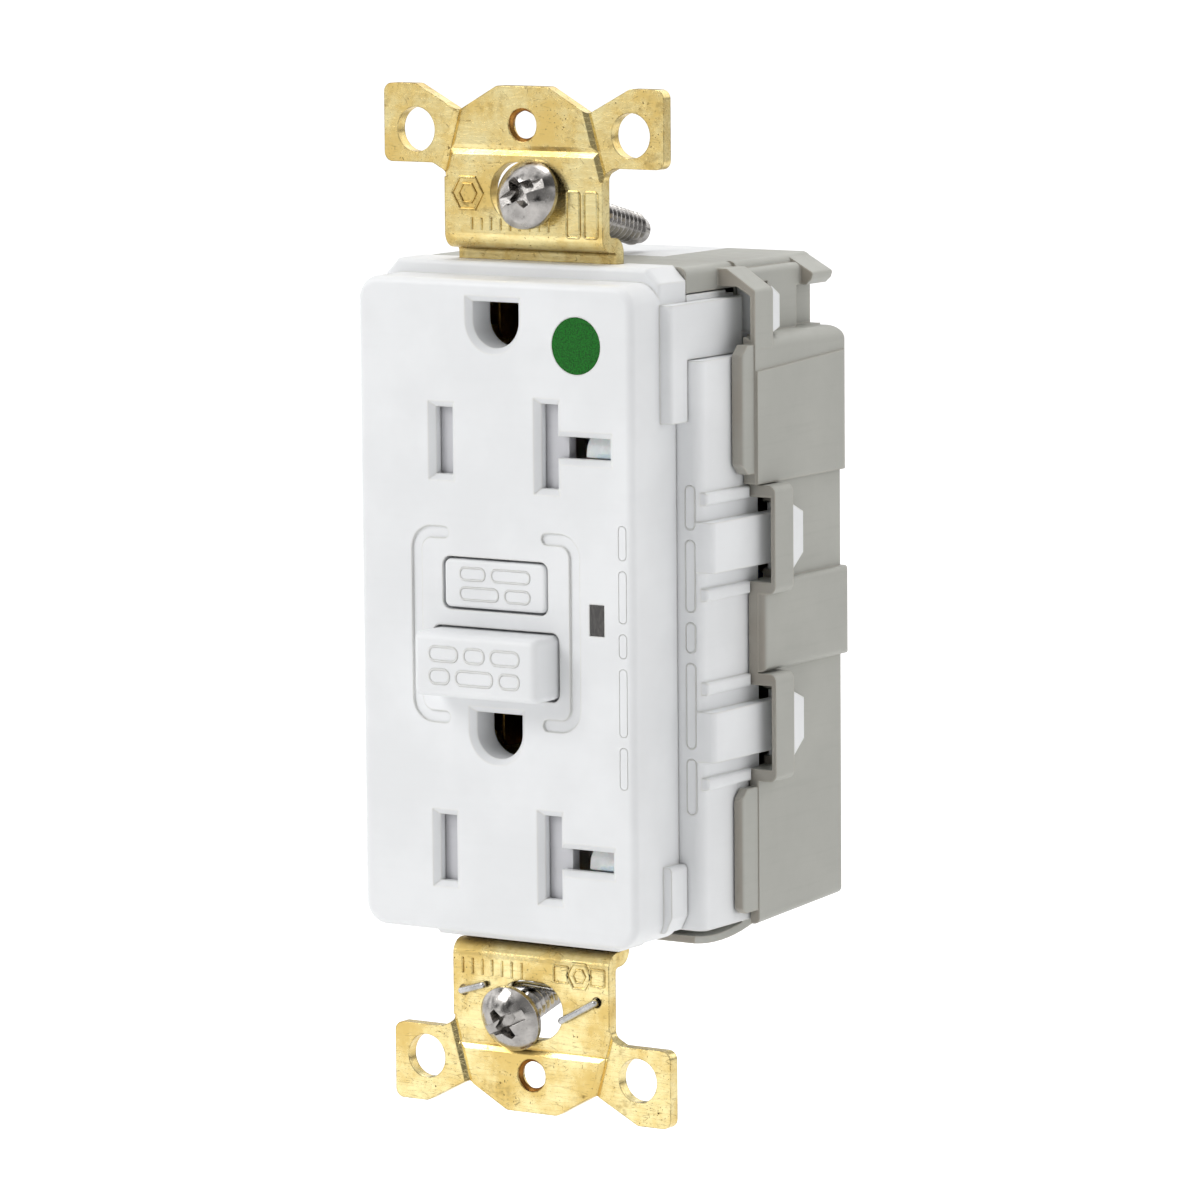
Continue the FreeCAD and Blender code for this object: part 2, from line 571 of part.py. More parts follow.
def mounting_screw(label, x, z, tilt):
    """A No. 6-32 machine screw with an oval head and a combination recess, built along +Y."""
    head_r, head_h, thread_r = size("screw_head_r"), size("screw_head_h"), size("screw_thread_r")
    length, pitch, depth = size("screw_length"), 25.4 / 32, 0.36
    dome_r = (head_r ** 2 + (head_h - 0.5) ** 2) / (2 * (head_h - 0.5))
    outline = [FreeCAD.Vector(0, 0, 0), FreeCAD.Vector(thread_r - depth, 0, 0)]
    turns = int((length - 2.0) / pitch)
    for i in range(turns):
        y = 1.0 + i * pitch
        outline += [FreeCAD.Vector(radius, y + share * pitch, 0) for radius, share in
                    ((thread_r - depth, 0), (thread_r, 0.4), (thread_r, 0.55), (thread_r - depth, 0.95))]
    outline += [FreeCAD.Vector(thread_r - depth, length - 0.6, 0),
                FreeCAD.Vector(thread_r - 0.8, length, 0), FreeCAD.Vector(0, length, 0), ORIGIN]
    shank = Part.Face(Part.makePolygon(outline)).revolve(ORIGIN, AXES["y"], 360)
    ball = Part.makeSphere(dome_r, FreeCAD.Vector(0, dome_r - head_h, 0))
    head = Part.makeCylinder(head_r, head_h, FreeCAD.Vector(0, -head_h, 0), AXES["y"]).common(ball)
    width = size("slot_w")
    slot = Part.makeBox(2 * head_r + 1, 0.95, width,
                        FreeCAD.Vector(-head_r - 0.5, -head_h - 0.05, -width / 2))
    slot.rotate(ORIGIN, AXES["y"], -size("slot_turn"))
    obj = shaped(label, shank.fuse(head.cut(slot).cut(star_recess(head_h))))
    obj.Placement = FreeCAD.Placement(FreeCAD.Vector(x, -size("strap_thick") - 0.05
                                                     - head_r * math.sin(math.radians(abs(tilt))), z),
                                      FreeCAD.Rotation(AXES["x"], -tilt))
    return obj


# ---------------------------------------------------------------- middle housing

def side_hook(name, z):
    """A snap tongue on the housing's side, with the two guide ribs that flank it."""
    wall, end = "(housing_half_w + skirt_gap)", "hook_catch + 1.5"
    outline = [("housing_half_w - 1", "housing_front"), ("hook_out", "housing_front"), ("hook_out", end),
               (wall, end), (wall, "housing_back"), ("housing_half_w - 1", "housing_back")]
    tongue = padded(name + "_tongue", outline, "z", f"{z} - hook_half_h", f"{z} + hook_half_h")
    tongue = rounded(name + "_soft", tongue, 0.5,
                     lambda e: along("z")(e) and abs(e.BoundBox.XMin - size("hook_out")) < 1e-3
                     and e.BoundBox.YMin < size("housing_front + 0.1"))
    barb = wedge(name + "_barb", ("hook_catch", "hook_back"),
                 (wall, "hook_barb_out"), (f"{z} - hook_barb_low", f"{z} + hook_barb_low"),
                 (wall, "hook_out + 0.2"), (f"{z} - hook_barb_end", f"{z} + hook_barb_end"))
    pieces = [tongue, barb]
    for side, low in (("high", f"{z} + 4.2"), ("low", f"{z} - 4.2 - rib_h")):
        rib = block(f"{name}_rib_{side}", ("housing_half_w - 0.5", "rib_out"),
                    ("housing_front + 0.3", "mid_front - 0.1"), (low, f"{low} + rib_h"))
        pieces.append(rounded(f"{name}_rib_{side}_soft", rib, 0.3,
                              lambda e: abs(e.BoundBox.XMin - size("rib_out")) < 1e-3))
    return pieces


def middle_housing():
    side, low = "housing_half_w", "(housing_half_h + 0.9)"
    shell = block("housing_block", (f"-{side}", side), ("housing_front", "housing_back"),
                  (f"-{low}", "housing_half_h"))
    front = size("housing_front")
    shell = rounded("housing_soft", shell, 1.0,
                    lambda e: along("z")(e) and e.BoundBox.YMax < front + 0.01)
    ledge = block("housing_ledge", ("-cap_half_w", "cap_half_w"), ("cap_front", "mid_front + 0.7"),
                  ("housing_half_h - 1", "housing_half_h + 0.35"))
    pieces = [shell, ledge]
    for name, z in HOOKS.items():
        for piece in side_hook(f"hook_{name}", z):
            pieces += both_sides(piece)
    housing = fuse("housing_solid", pieces)
    inner = "(housing_half_w - housing_wall)"
    top, bottom = "(housing_half_h - housing_wall)", f"-({low} - housing_wall)"
    web = ("web_front", "web_front + web_thick")
    tools = [
        block("housing_front_bay", ("-(face_half_w - cover_wall)", "face_half_w - cover_wall"),
              ("housing_front - 1", web[0]), (bottom, top)),
        block("housing_rear_bay", (f"-{inner}", inner), (web[1], "housing_back + 1"),
              (bottom, "latch_arm_low - 1.6")),
        block("housing_rear_top", ("-(cap_half_w - housing_wall)", "cap_half_w - housing_wall"),
              (web[1], "housing_back + 1"), ("0", top)),
        block("housing_strap_way", ("-(strap_half_w + 0.2)", "strap_half_w + 0.2"),
              ("housing_front - 1", web[0]), ("-40", "40")),
        block("housing_flange_way", ("-(face_half_w - 1.8)", "face_half_w - 1.8"),
              ("housing_front - 1", "flange_back + 0.1"), ("-40", "-(face_half_h - 2.45)")),
        block("housing_flange_way_top", ("-(face_half_w + 0.1)", "face_half_w + 0.1"),
              ("housing_front - 1", "flange_back + 0.1"), ("face_half_h - 2.45", "40")),
    ]
    tools += both_sides(block("housing_arm_way", ("cap_half_w + 0.05", "housing_half_w + 1"),
                              ("housing_front - 1", "housing_back + 1"), ("latch_arm_low - 0.1", "40")))
    through = ("web_front - 1", "web_front + 2")
    for outlet, z in OUTLETS.items():
        for x in ("-blade_offset", "blade_offset"):
            tools.append(block(f"{outlet}_web_hole", (f"{x} - 2.2", f"{x} + 2.2"), through,
                               (f"{z} - 4.4", f"{z} + 4.4")))
        tools.append(block(f"{outlet}_web_arm", ("blade_offset", "blade_offset + arm_reach + 0.8"),
                           through, (f"{z} - 2.2", f"{z} + 2.2")))
        ground = GROUNDS[outlet]
        tools.append(block(f"{outlet}_web_ground", ("-6.6", "6.6"), through,
                           (f"{ground} - 3.7", f"{ground} + 2.1")))
        tools.append(block(f"{outlet}_clip_way", ("-3.5", "3.5"), (web[0], "9.2"),
                           (ground, f"{ground} + 2.1")))
    for z in ("test_z", "reset_z"):
        tools.append(rod("web_stem", "stem_r + 0.15", "y", *through, "0", z))
    tools.append(block("web_lens", ("lens_x - 1.2", "lens_x + 1.2"), through,
                       ("lens_z - 2", "lens_z + 2")))
    return node("middle_housing", cut("housing", housing, tools))


# ---------------------------------------------------------------- back body

def body_zone(name, half_w, y, z):
    """A block across the whole body with its upright and fore-and-aft edges rounded."""
    zone = block(name, (f"-{half_w}", half_w), y, z)
    return rounded(name + "_soft", zone, 0.6, lambda e: along("z")(e) or along("y")(e))


def low_zone():
    """The main box of the body; its underside rises towards the back."""
    back, low = size("body_back"), size("body_low")
    outline = [("mid_front", "-(body_low + body_drop)"), ("body_back", "-body_low"),
               ("body_back", "top_zone_low + 0.5"), ("mid_front", "top_zone_low + 0.5")]
    zone = padded("zone_mid", outline, "x", "-mid_half_w", "mid_half_w")
    return rounded("zone_mid_soft", zone, 0.6, lambda e: (
        e.BoundBox.ZMin < 1e-3 - low and e.BoundBox.YMax > back - 1e-3))


def side_strip(name, half_w, high, low, low_cut):
    """The narrow strip ahead of a zone, its front corners cut off when seen from the side."""
    front, back = "strip_front", "mid_front + 1"
    outline = [(front, f"{low} + {low_cut}"), (f"{front} + {low_cut}", low), (back, low),
               (back, high), (f"{front} + 1", high), (front, f"{high} - 1")]
    strip = padded(name, outline, "x", f"-({half_w})", half_w)
    return rounded(name + "_soft", strip, 0.45, flat_at("y", size(front)))


def loop(name, z):
    """A closed loop on the body's side that the housing's hook snaps through."""
    frame = block(name + "_frame", ("mid_half_w - 0.9", "loop_out"),
                  ("mid_front", "mid_front + loop_depth"), (f"{z} - loop_half_h", f"{z} + loop_half_h"))
    frame = rounded(name + "_soft", frame, 0.8,
                    lambda e: along("y")(e) and e.BoundBox.XMin > size("loop_out") - 0.01)
    window = block(name + "_window", ("mid_half_w - 2", "loop_out - loop_bar"),
                   ("mid_front - 1", "mid_front + 5"), (f"{z} - loop_window", f"{z} + loop_window"))
    return cut(name, frame, [window])


def bail():
    """The corner loop that the front cover's latch arm snaps through."""
    inside, outside, root = "(top_half_w - bail_bar)", "top_half_w", "(cap_half_w - 1)"
    outline = [(root, "cap_top - 0.5"), ("cap_half_w + 1.1", "cap_top - 0.5"),
               (outside, "cap_top - 2.6"), (outside, "shelf_z - 1.2"), (inside, "shelf_z - 1.2"),
               (inside, "cap_top - 3.15"), ("cap_half_w + 2.25", "cap_top - 2.25"),
               (root, "cap_top - 2.25")]
    bar = padded("bail", outline, "y", "strip_back", "strip_back + bail_depth")
    top, side = size("cap_top - 3"), size("cap_half_w + 1")
    return rounded("bail_soft", bar, 0.5, lambda e: (
        along("y")(e) and e.BoundBox.ZMin > top and e.BoundBox.XMin > side))


def hood():
    """The gable at the top of the rear wall."""
    inner, under = "(cap_half_w - 1)", "(cap_top - 3.05)"
    outline = [(inner, "cap_top"), ("cap_half_w - 0.4", "cap_top"),
               ("cap_half_w + 3.0", "cap_top - 1.85"), ("cap_half_w + 2.8", "cap_top - 2.5"),
               ("cap_half_w + 2.2", under), (inner, under)]
    gable = padded("hood", outline, "y", "hood_front", "body_back")
    tip = size("cap_half_w + 2.5")
    return rounded("hood_soft", gable, 0.3, lambda e: along("y")(e) and e.BoundBox.XMin > tip)


def bottom_lip():
    """The curved sill under the body: a thin arched plate that runs back into the underside."""
    front, join, rear = size("cap_front") + 0.2, 12.3, 18.4
    tip, sag, thick = 0.46 - size("cap_top"), 0.05 - size("cap_top"), 0.75
    slope = size("body_drop / (body_back - mid_front)")
    under, inside = slope * (rear - size("body_back")) - size("body_low"), 0.5 - size("body_low")

    def spot(y, z):
        return FreeCAD.Vector(0, y, z)

    outer = Part.Arc(spot(front, tip), spot(8, sag), spot(rear, under)).toShape()
    inner = Part.Arc(spot(join, sag + 1.25), spot(8, sag + thick), spot(front, tip + thick)).toShape()
    rest = [Part.makeLine(spot(rear, under), spot(rear, inside)),
            Part.makeLine(spot(rear, inside), spot(join, inside)),
            Part.makeLine(spot(join, inside), spot(join, sag + 1.25)),
            Part.makeLine(spot(front, tip + thick), spot(front, tip))]
    half = size("cap_half_w") + 0.4
    outline = Part.Wire(Part.__sortEdges__([outer, inner] + rest))
    lip = doc.addObject("Part::Feature", "bottom_lip")
    lip.Shape = Part.Face(outline).extrude(FreeCAD.Vector(2 * half, 0, 0))
    lip.Placement.Base = FreeCAD.Vector(-half, 0, 0)
    return lip


def top_zone():
    """The widest part below the shelf: a rounded band and a slightly raised panel on each side."""
    back = size("body_back")
    band = block("zone_top", ("-top_half_w", "top_half_w"), ("strip_back", "body_back"),
                 ("top_zone_low", "shelf_z"))
    high = size("shelf_z")
    band = rounded("zone_top_shoulders", band, 1.5, lambda e: e.BoundBox.ZMin > high - 1e-3 and (
        along("y")(e) or flat_at("y", back)(e)))
    panel = padded("zone_panel", [("strip_back + 0.1", "top_zone_low"), ("body_back", "top_zone_low"),
                                  ("body_back", "shelf_z - 2.5"), ("strip_back + 0.1", "shelf_z - 3.4")],
                   "x", "-panel_half_w", "panel_half_w")
    panel = rounded("zone_panel_soft", panel, 0.6,
                    lambda e: along("z")(e) and e.BoundBox.YMin > back - 1e-3)
    return [band, panel]


def back_body():
    back = "body_back"
    zones = top_zone() + [
        low_zone(),
        side_strip("strip_high", "top_half_w - 0.15", "(shelf_z - 0.7)", "(top_zone_low + 1.1)", "1"),
        side_strip("strip_low", "mid_half_w - 0.1", "-18.5", "-(body_low - 0.6)", "0.5"),
        body_zone("zone_pad", "pad_half_w", ("mid_front + 0.05", back), ("-6.8", "2.3")),
    ]
    tower = block("tower", ("-tower_half_w", "tower_half_w"), ("12", back),
                  ("shelf_z - 1.6", "cap_top - 0.8"))
    cap = block("cap", ("-cap_half_w", "cap_half_w"), ("cap_front", "13"), ("cap_low", "cap_top"))
    roof = block("roof", ("-(cap_half_w + 0.4)", "cap_half_w + 0.4"), ("12", back),
                 ("cap_low - 0.5", "cap_top"))
    for piece, radius in ((tower, 0.7), (cap, 0.9), (roof, 0.9)):
        top = piece.Shape.BoundBox.ZMax
        zones.append(rounded(piece.Name + "_soft", piece, radius,
                             lambda e: along("y")(e) and e.BoundBox.ZMin > top - 0.01))
    for obj in [bail(), hood()] + [loop(f"loop_{name}", z) for name, z in HOOKS.items()]:
        zones += both_sides(obj)
    zones.append(bottom_lip())
    solid = fuse("body_solid", zones)

    fit = "(housing_half_w + skirt_gap)"
    deep = "(mid_half_w - body_wall)"
    wall = f"{back} - body_wall"
    tools = [
        block("body_mouth", (f"-{fit}", fit), ("0", "12.15"), ("-(body_low + 1.1)", "cap_low - 0.05")),
        block("body_well", (f"-{deep}", deep), ("12", wall), ("-(body_low - 1.6)", "shelf_z - 1.6")),
        block("tower_well", ("-(cap_half_w - 0.1)", "cap_half_w - 0.1"), ("12", wall),
              ("0", "cap_top - 2.0")),
        block("socket_way", ("-7.1", "7.1"), ("13.8", "30"), ("20.1", "40")),
    ]
    arm = block("arm_way", ("cap_half_w + 0.02", "top_half_w + 1"),
                ("strip_back - 3", "barb_back + 0.15"), ("shelf_z + 0.02", "barb_high + 0.1"))
    arm_low = block("arm_way_low", ("cap_half_w", "latch_out + 0.1"),
                    ("strip_front", "barb_back + 0.15"), ("latch_arm_low - 0.1", "shelf_z + 1"))
    tools += both_sides(cut("arm_ways", arm, [doc.getObject("bail_soft")])) + both_sides(arm_low)
    tools += both_sides(block("tower_recess", ("cap_half_w + 0.3", "tower_half_w + 0.2"),
                              ("tower_step", f"{back} + 1"), ("shelf_z + 0.02", "cap_top - 3.05")))
    for name, z in HOOKS.items():
        catch = "(mid_front + loop_depth)"
        notch = block(f"{name}_notch", (f"{fit} - 1", "mid_half_w + 0.02"),
                      ("mid_front - 1", f"{catch} + 0.1"), (f"{z} - loop_window", f"{z} + loop_window"))
        start, end = "(hook_barb_low + 0.12)", "(hook_barb_end + 0.1)"
        side = (f"{fit} - 1", "mid_half_w + 0.5")
        pocket = wedge(f"{name}_barb_way", (catch, "hook_back + 0.1"), side,
                       (f"{z} - {start}", f"{z} + {start}"), side, (f"{z} - {end}", f"{z} + {end}"))
        tools += both_sides(notch) + both_sides(pocket)
    for z in range(-22, 18, 8):
        tools.append(padded("rear_groove", rectangle(("-15", "15"), (str(z), f"{z} + 3")), "y",
                            f"{back} - 0.5", f"{back} + 1", corner="1"))
    return node("back_body", cut("body", solid, tools))


def connector_socket():
    shell = block("socket_shell", ("-7", "7"), ("13.9", "body_back"), ("20.2", "cap_top"))
    well = block("socket_well", ("-5.4", "5.4"), ("15.5", "body_back + 1"), ("21.8", "cap_top - 1.8"))
    slots = [block("socket_slot", (f"{x} - 0.45", f"{x} + 0.45"), ("13", "17"), ("24.2", "29.8"))
             for x in (-3.4, 0, 3.4)]
    return node("connector_socket", cut("socket", shell, [well] + slots))


# ---------------------------------------------------------------- tamper shutters

def shutters():
    """One sliding plate behind each outlet; it moves to the left to uncover the slots."""
    for outlet, z in OUTLETS.items():
        y = ("face_front + face_thick + 0.15", "face_front + face_thick + 1.35")
        plate = block(f"{outlet}_plate", ("-9.4", "14.4"), y, (f"{z} - 4.9", f"{z} + 4.9"))
        hot, neutral = "(shutter_travel - blade_offset)", "(shutter_travel + blade_offset)"
        holes = [
            block(f"{outlet}_pass_hot", (f"{hot} - 1.1", f"{hot} + 1.1"), ("-9", "0"),
                  (f"{z} - 3.6", f"{z} + 3.6")),
            block(f"{outlet}_pass_neutral", (f"{neutral} - 1.1", f"{neutral} + 1.1"), ("-9", "0"),
                  (f"{z} - 4.4", f"{z} + 4.4")),
            block(f"{outlet}_pass_arm", (neutral, "15"), ("-9", "0"), (f"{z} - 1.2", f"{z} + 1.2")),
        ]
        node(f"shutter_{outlet}", cut(f"{outlet}_shutter", plate, holes))
        seat = (-14.85, size(y[0]) + 0.6, size(z))
        coil_spring(f"shutter_spring_{outlet}", seat, "x", 5.4, 0.62, 0.13, 8)


# ---------------------------------------------------------------- contacts

def line_contact(label, side):
    """A brass rail with a U-shaped clip behind each slot of one side."""
    outer, inner = ("8.0", "4.6")
    outside = (outer, f"{outer} + sheet_thick")
    pieces = [block(label + "_rail", outside, ("5.2", "9.2"), ("-29", "21.2"))]
    for outlet, z in OUTLETS.items():
        span, deep = (f"{z} - 3.4", f"{z} + 3.4"), ("5.2", "11.6")
        pieces += [block(f"{label}_{outlet}_inner", (inner, f"{inner} + sheet_thick"), deep, span),
                   block(f"{label}_{outlet}_outer", outside, deep, span),
                   block(f"{label}_{outlet}_web", (inner, outside[1]), ("11", "11.6"), span)]
    rail = fuse(label + "_solid", pieces)
    return node(label, mirrored(rail) if side < 0 else rail)


def compound(name, parts):
    obj = doc.addObject("Part::Compound", name)
    obj.Links = parts
    return obj


def ground_leaf(outlet):
    """The flat leaf beside a ground pin: it reaches forward through the strap."""
    z, front = GROUNDS[outlet], size("inner_front - 3.19")
    leaf = block(f"{outlet}_leaf", ("ground_r - 0.3", "ground_r"),
                 ("inner_front - 3.19", "inner_front + strap_thick + 0.4"),
                 (f"{z} - 2.3", f"{z} + ground_flat + 0.1"))
    low = size(z) - 2.3
    return rounded(f"{outlet}_leaf_soft", leaf, 1.2, lambda e: (
        along("x")(e) and e.BoundBox.YMax < front + 1e-3 and e.BoundBox.ZMax < low + 1e-3))


def ground_contacts():
    """A split tube and two leaves for each ground pin, on a plate that is riveted to the strap."""
    rivets = []
    seat, face = "(inner_front + strap_thick)", "(inner_front + strap_thick + 0.8)"
    for outlet, z in GROUNDS.items():
        base = block(f"{outlet}_base", ("-6.2", "6.2"), (seat, face), (f"{z} - 3.3", f"{z} + 2.3"))
        tube = rod(f"{outlet}_tube", "ground_r + 0.45", "y", face, "9", "0", z)
        bore = rod(f"{outlet}_bore", "ground_r - 0.25", "y", f"{seat} - 0.1", "12", "0", z)
        split = block(f"{outlet}_split", ("-0.4", "0.4"), ("4.2", "12"), (f"{z} - 4", f"{z} + 4"))
        flat = block(f"{outlet}_flat", ("-4", "4"), (face, "12"), (f"{z} + 2", f"{z} + 5"))
        holes = [bore, split, flat]
        for x in RIVETS:
            holes.append(rod(f"{outlet}_rivet_way", "0.75", "y", "0", "5", x, z))
            shank = rod(f"{outlet}_rivet", "0.75", "y", "inner_front", face, x, z)
            cap = rod(f"{outlet}_rivet_cap", "1.15", "y", face, f"{face} + 0.5", x, z)
            head = rod(f"{outlet}_rivet_head", "1.15", "y", "inner_front - 0.5", "inner_front", x, z)
            rivets.append(fuse(f"{outlet}_rivet_solid", [shank, cap, head]))
        clip = cut(f"{outlet}_ground_clip", fuse(f"{outlet}_clip", [base, tube]), holes)
        leaves = both_sides(ground_leaf(outlet))
        node(f"ground_contact_{outlet}", fuse(f"{outlet}_ground", [clip] + leaves))
    node("ground_rivets", compound("rivets", rivets))


def trip_mechanism():
    """Carriage and contact arms, latch plate, solenoid and its plunger."""
    carriage = block("carriage_block", ("-6.9", "6.9"), ("5.4", "8.2"),
                     ("reset_z - 2.6", "reset_z + 2.6"))
    way = rod("carriage_way", "stem_r + 0.08", "y", "0", "12", "0", "reset_z")
    node("contact_carriage", cut("carriage", carriage, [way]))
    sheet_y = ("8.2", "8.2 + sheet_thick")
    arm = block("arm_strip", ("2.6", "6.8"), sheet_y, ("reset_z - 2.4", "reset_z + 2.4"))
    tip = block("arm_tip", ("4.6", "6.8"), sheet_y, ("reset_z + 2.4", "reset_z + 6.4"))
    silver = rod("arm_silver", "0.9", "y", "7.5", "8.25", "5.7", "reset_z + 5.3")
    arms = both_sides(fuse("arm_solid", [arm, tip, silver]))
    node("contact_arms", compound("arm_pair", arms))
    fixed = block("fixed_strip", ("4.7", "8.0"), ("6.0", "6.6"), ("reset_z + 4.2", "reset_z + 6.4"))
    pad = rod("fixed_silver", "0.9", "y", "6.55", "7.45", "5.7", "reset_z + 5.3")
    fixed = fuse("fixed_solid", [fixed, pad])
    node("fixed_contacts", compound("fixed_pair", both_sides(fixed)))

    plate = block("latch_flat", ("-4", "4"), ("10.6", "11.2"), ("reset_z - 4.4", "reset_z + 3.4"))
    tail = block("latch_tail", ("-1.6", "1.6"), ("10.6", "19.4"), ("reset_z - 5.0", "reset_z - 4.4"))
    key = [rod("latch_key", "stem_r + 0.15", "y", "9", "12", "0", f"reset_z - {dz}")
           for dz in ("0", "trip_travel")]
    bridge = block("latch_bridge", ("-(stem_r + 0.15)", "stem_r + 0.15"), ("9", "12"),
                   ("reset_z - trip_travel", "reset_z"))
    node("latch_plate", cut("latch", fuse("latch_solid", [plate, tail]), key + [bridge]))

    axis_y, low, high = "18.6", "-26", "-13.2"
    bore = rod("spool_bore", "1.95", "z", "-27", "-12", "0", axis_y)
    spool = [rod("spool_core", "2.7", "z", low, high, "0", axis_y)]
    for start, end in ((low, f"{low} + 0.8"), (f"{high} - 0.8", high)):
        spool.append(rod("spool_end", "5.2", "z", start, end, "0", axis_y))
    node("solenoid_bobbin", cut("bobbin", fuse("spool", spool), [bore]))
    winding = rod("winding", "4.9", "z", f"{low} + 0.8", f"{high} - 0.8", "0", axis_y)
    space = rod("winding_bore", "2.7", "z", "-27", "-12", "0", axis_y)
    node("solenoid_coil", cut("coil", winding, [space]))
    yoke = block("yoke_outer", ("-6.4", "6.4"), ("14.6", "22.6"), (f"{low} - 1", f"{high} + 1"))
    hollow = block("yoke_inner", ("-5.4", "5.4"), ("14", "24"), (low, high))
    exits = rod("yoke_bore", "2.0", "z", "-30", "-10", "0", axis_y)
    node("solenoid_yoke", cut("yoke", yoke, [hollow, exits]))
    core = rod("plunger_core", "1.85", "z", "-24.4", "-11.2", "0", axis_y)
    nose = rod("plunger_nose", "1.0", "z", "-11.3", "reset_z - 5.03", "0", axis_y)
    node("solenoid_plunger", fuse("plunger_solid", [core, nose]))


# ---------------------------------------------------------------- circuit board and its parts

def electronics():
    board = block("board", ("-board_half_w", "board_half_w"),
                  ("board_front", "board_front + board_thick"), ("-29.6", "24"))
    holes = [block("board_tail_slot", ("-2", "2"), ("10", "16"), ("reset_z - 5.4", "reset_z - 2.4")),
             rod("board_stem_hole", "stem_r + 0.3", "y", "10", "16", "0", "reset_z"),
             rod("board_line_hole", "3.6", "y", "10", "16", "0", "6.0")]
    node("circuit_board", cut("board_cut", board, holes))
    rear = "(board_front + board_thick)"

    cup = rod("cup", "8.4", "y", f"{rear} + 0.05", "22.6", "0", "6.0")
    hollow = cut("cup_hollow", rod("cup_space", "7.4", "y", f"{rear} + 1", "23", "0", "6.0"),
                 [rod("cup_post", "3.7", "y", "10", "24", "0", "6.0")])
    bore = rod("cup_bore", "3.0", "y", "10", "24", "0", "6.0")
    node("sensor_cup", cut("cup_shell", cup, [hollow, bore]))
    for label, low, high in (("sense_toroid", f"{rear} + 1.1", "17.9"),
                             ("neutral_toroid", "18.1", "22.2")):
        ring = rod(label + "_ring", "7.2", "y", low, high, "0", "6.0")
        bore = rod(label + "_bore", "3.9", "y", "10", "24", "0", "6.0")
        node(label, cut(label + "_cut", ring, [bore]))

    for label, x in (("hot_line_bar", "-1.9"), ("neutral_line_bar", "1.9")):
        wide = (f"{x} - 0.5", f"{x} + 0.5")
        through = block(label + "_through", wide, ("10.4", "23.8"), ("5.2", "6.8"))
        rise = block(label + "_rise", wide, ("23.0", "23.8"), ("5.2", "19.9"))
        node(label, fuse(label + "_solid", [through, rise]))
    blades = [block("socket_blade", (f"{x} - 0.4", f"{x} + 0.4"), ("14.0", "23.6"), ("24.3", "29.7"))
              for x in (-3.4, 0, 3.4)]
    node("connector_blades", compound("blades", blades))

    disc = rod("varistor_disc", "4.0", "x", "11.6", "14.6", "18.0", "-1.5")
    legs = [rod("varistor_leg", "0.35", "y", rear, "16", "13.1", z) for z in ("-3.6", "0.6")]
    node("varistor", fuse("varistor_solid", [disc] + legs))
    node("capacitor", rod("capacitor_can", "3.2", "y", f"{rear} + 0.1", "22.8", "-12.6", "-1.6"))
    chip = block("chip_block", ("-15", "-9.4"), (f"{rear} + 0.35", f"{rear} + 1.9"), ("-22", "-12.6"))
    pins = []
    for x in ("-15.8", "-9.4"):
        for z in (-21.3, -18.9, -16.5, -14.1):
            pins.append(block("chip_pin", (x, f"{x} + 0.8"), (rear, f"{rear} + 0.9"),
                              (f"{z}", f"{z} + 0.6")))
    node("control_chip", fuse("chip", [chip] + pins))
    row = []
    for x in ("9.6", "12.6", "15.4"):
        body = rod("resistor_body", "1.1", "z", "-22", "-15.6", x, f"{rear} + 1.3")
        wire = rod("resistor_wire", "0.3", "z", "-24", "-13.6", x, f"{rear} + 1.3")
        row.append(fuse("resistor", [body, wire]))
    node("resistors", compound("resistor_row", row))
    wide = ("-0.8", "0.8")
    leaf = block("test_leaf", wide, ("10.3", "10.6"), ("test_z - 1.4", "test_z + 8.2"))
    foot = block("test_leaf_foot", wide, ("10.6", "board_front"), ("test_z + 7.6", "test_z + 8.2"))
    node("test_contact", fuse("test_leaf_solid", [leaf, foot]))
    node("status_led", rod("led_bulb", "1.2", "y", "8.8", "board_front", "lens_x", "lens_z"))


# ---------------------------------------------------------------- build, check and write

front_cover()
face_inserts()
buttons()
mounting_strap()
self_ground_wire()
mounting_screw("mounting_screw_top", 1.27, size("mount_pitch / 2") - 0.2, size("screw_tilt"))
mounting_screw("mounting_screw_bottom", -1.7, -size("mount_pitch / 2") - 0.75, -size("screw_tilt"))
middle_housing()
back_body()
connector_socket()
shutters()
line_contact("hot_contact_rail", -1)
line_contact("neutral_contact_rail", 1)
ground_contacts()
trip_mechanism()
electronics()
doc.recompute()

for obj in doc.Objects:
    if "Invalid" in obj.State or "Error" in obj.State:
        raise RuntimeError(f"{obj.Name} ({obj.Label}) is {obj.State}")
os.makedirs("parts", exist_ok=True)
for label, obj in nodes.items():
    shape = obj.Shape
    if shape.isNull() or not shape.isValid() or not shape.Solids:
        raise RuntimeError(f"{label} has no valid solid")
    shape.exportStep(f"parts/{label}.step")
    print(f"{label}: {len(shape.Solids)} solid(s), {shape.Volume:.1f} mm3")
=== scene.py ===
"""Looks for a duplex ground-fault outlet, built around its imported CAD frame.

Everything is in metres in the frame's own axes: X to the right as seen from the front,
Y into the wall, Z up.
"""

import json
import math

import bmesh
import bpy
from mathutils import Matrix, Vector


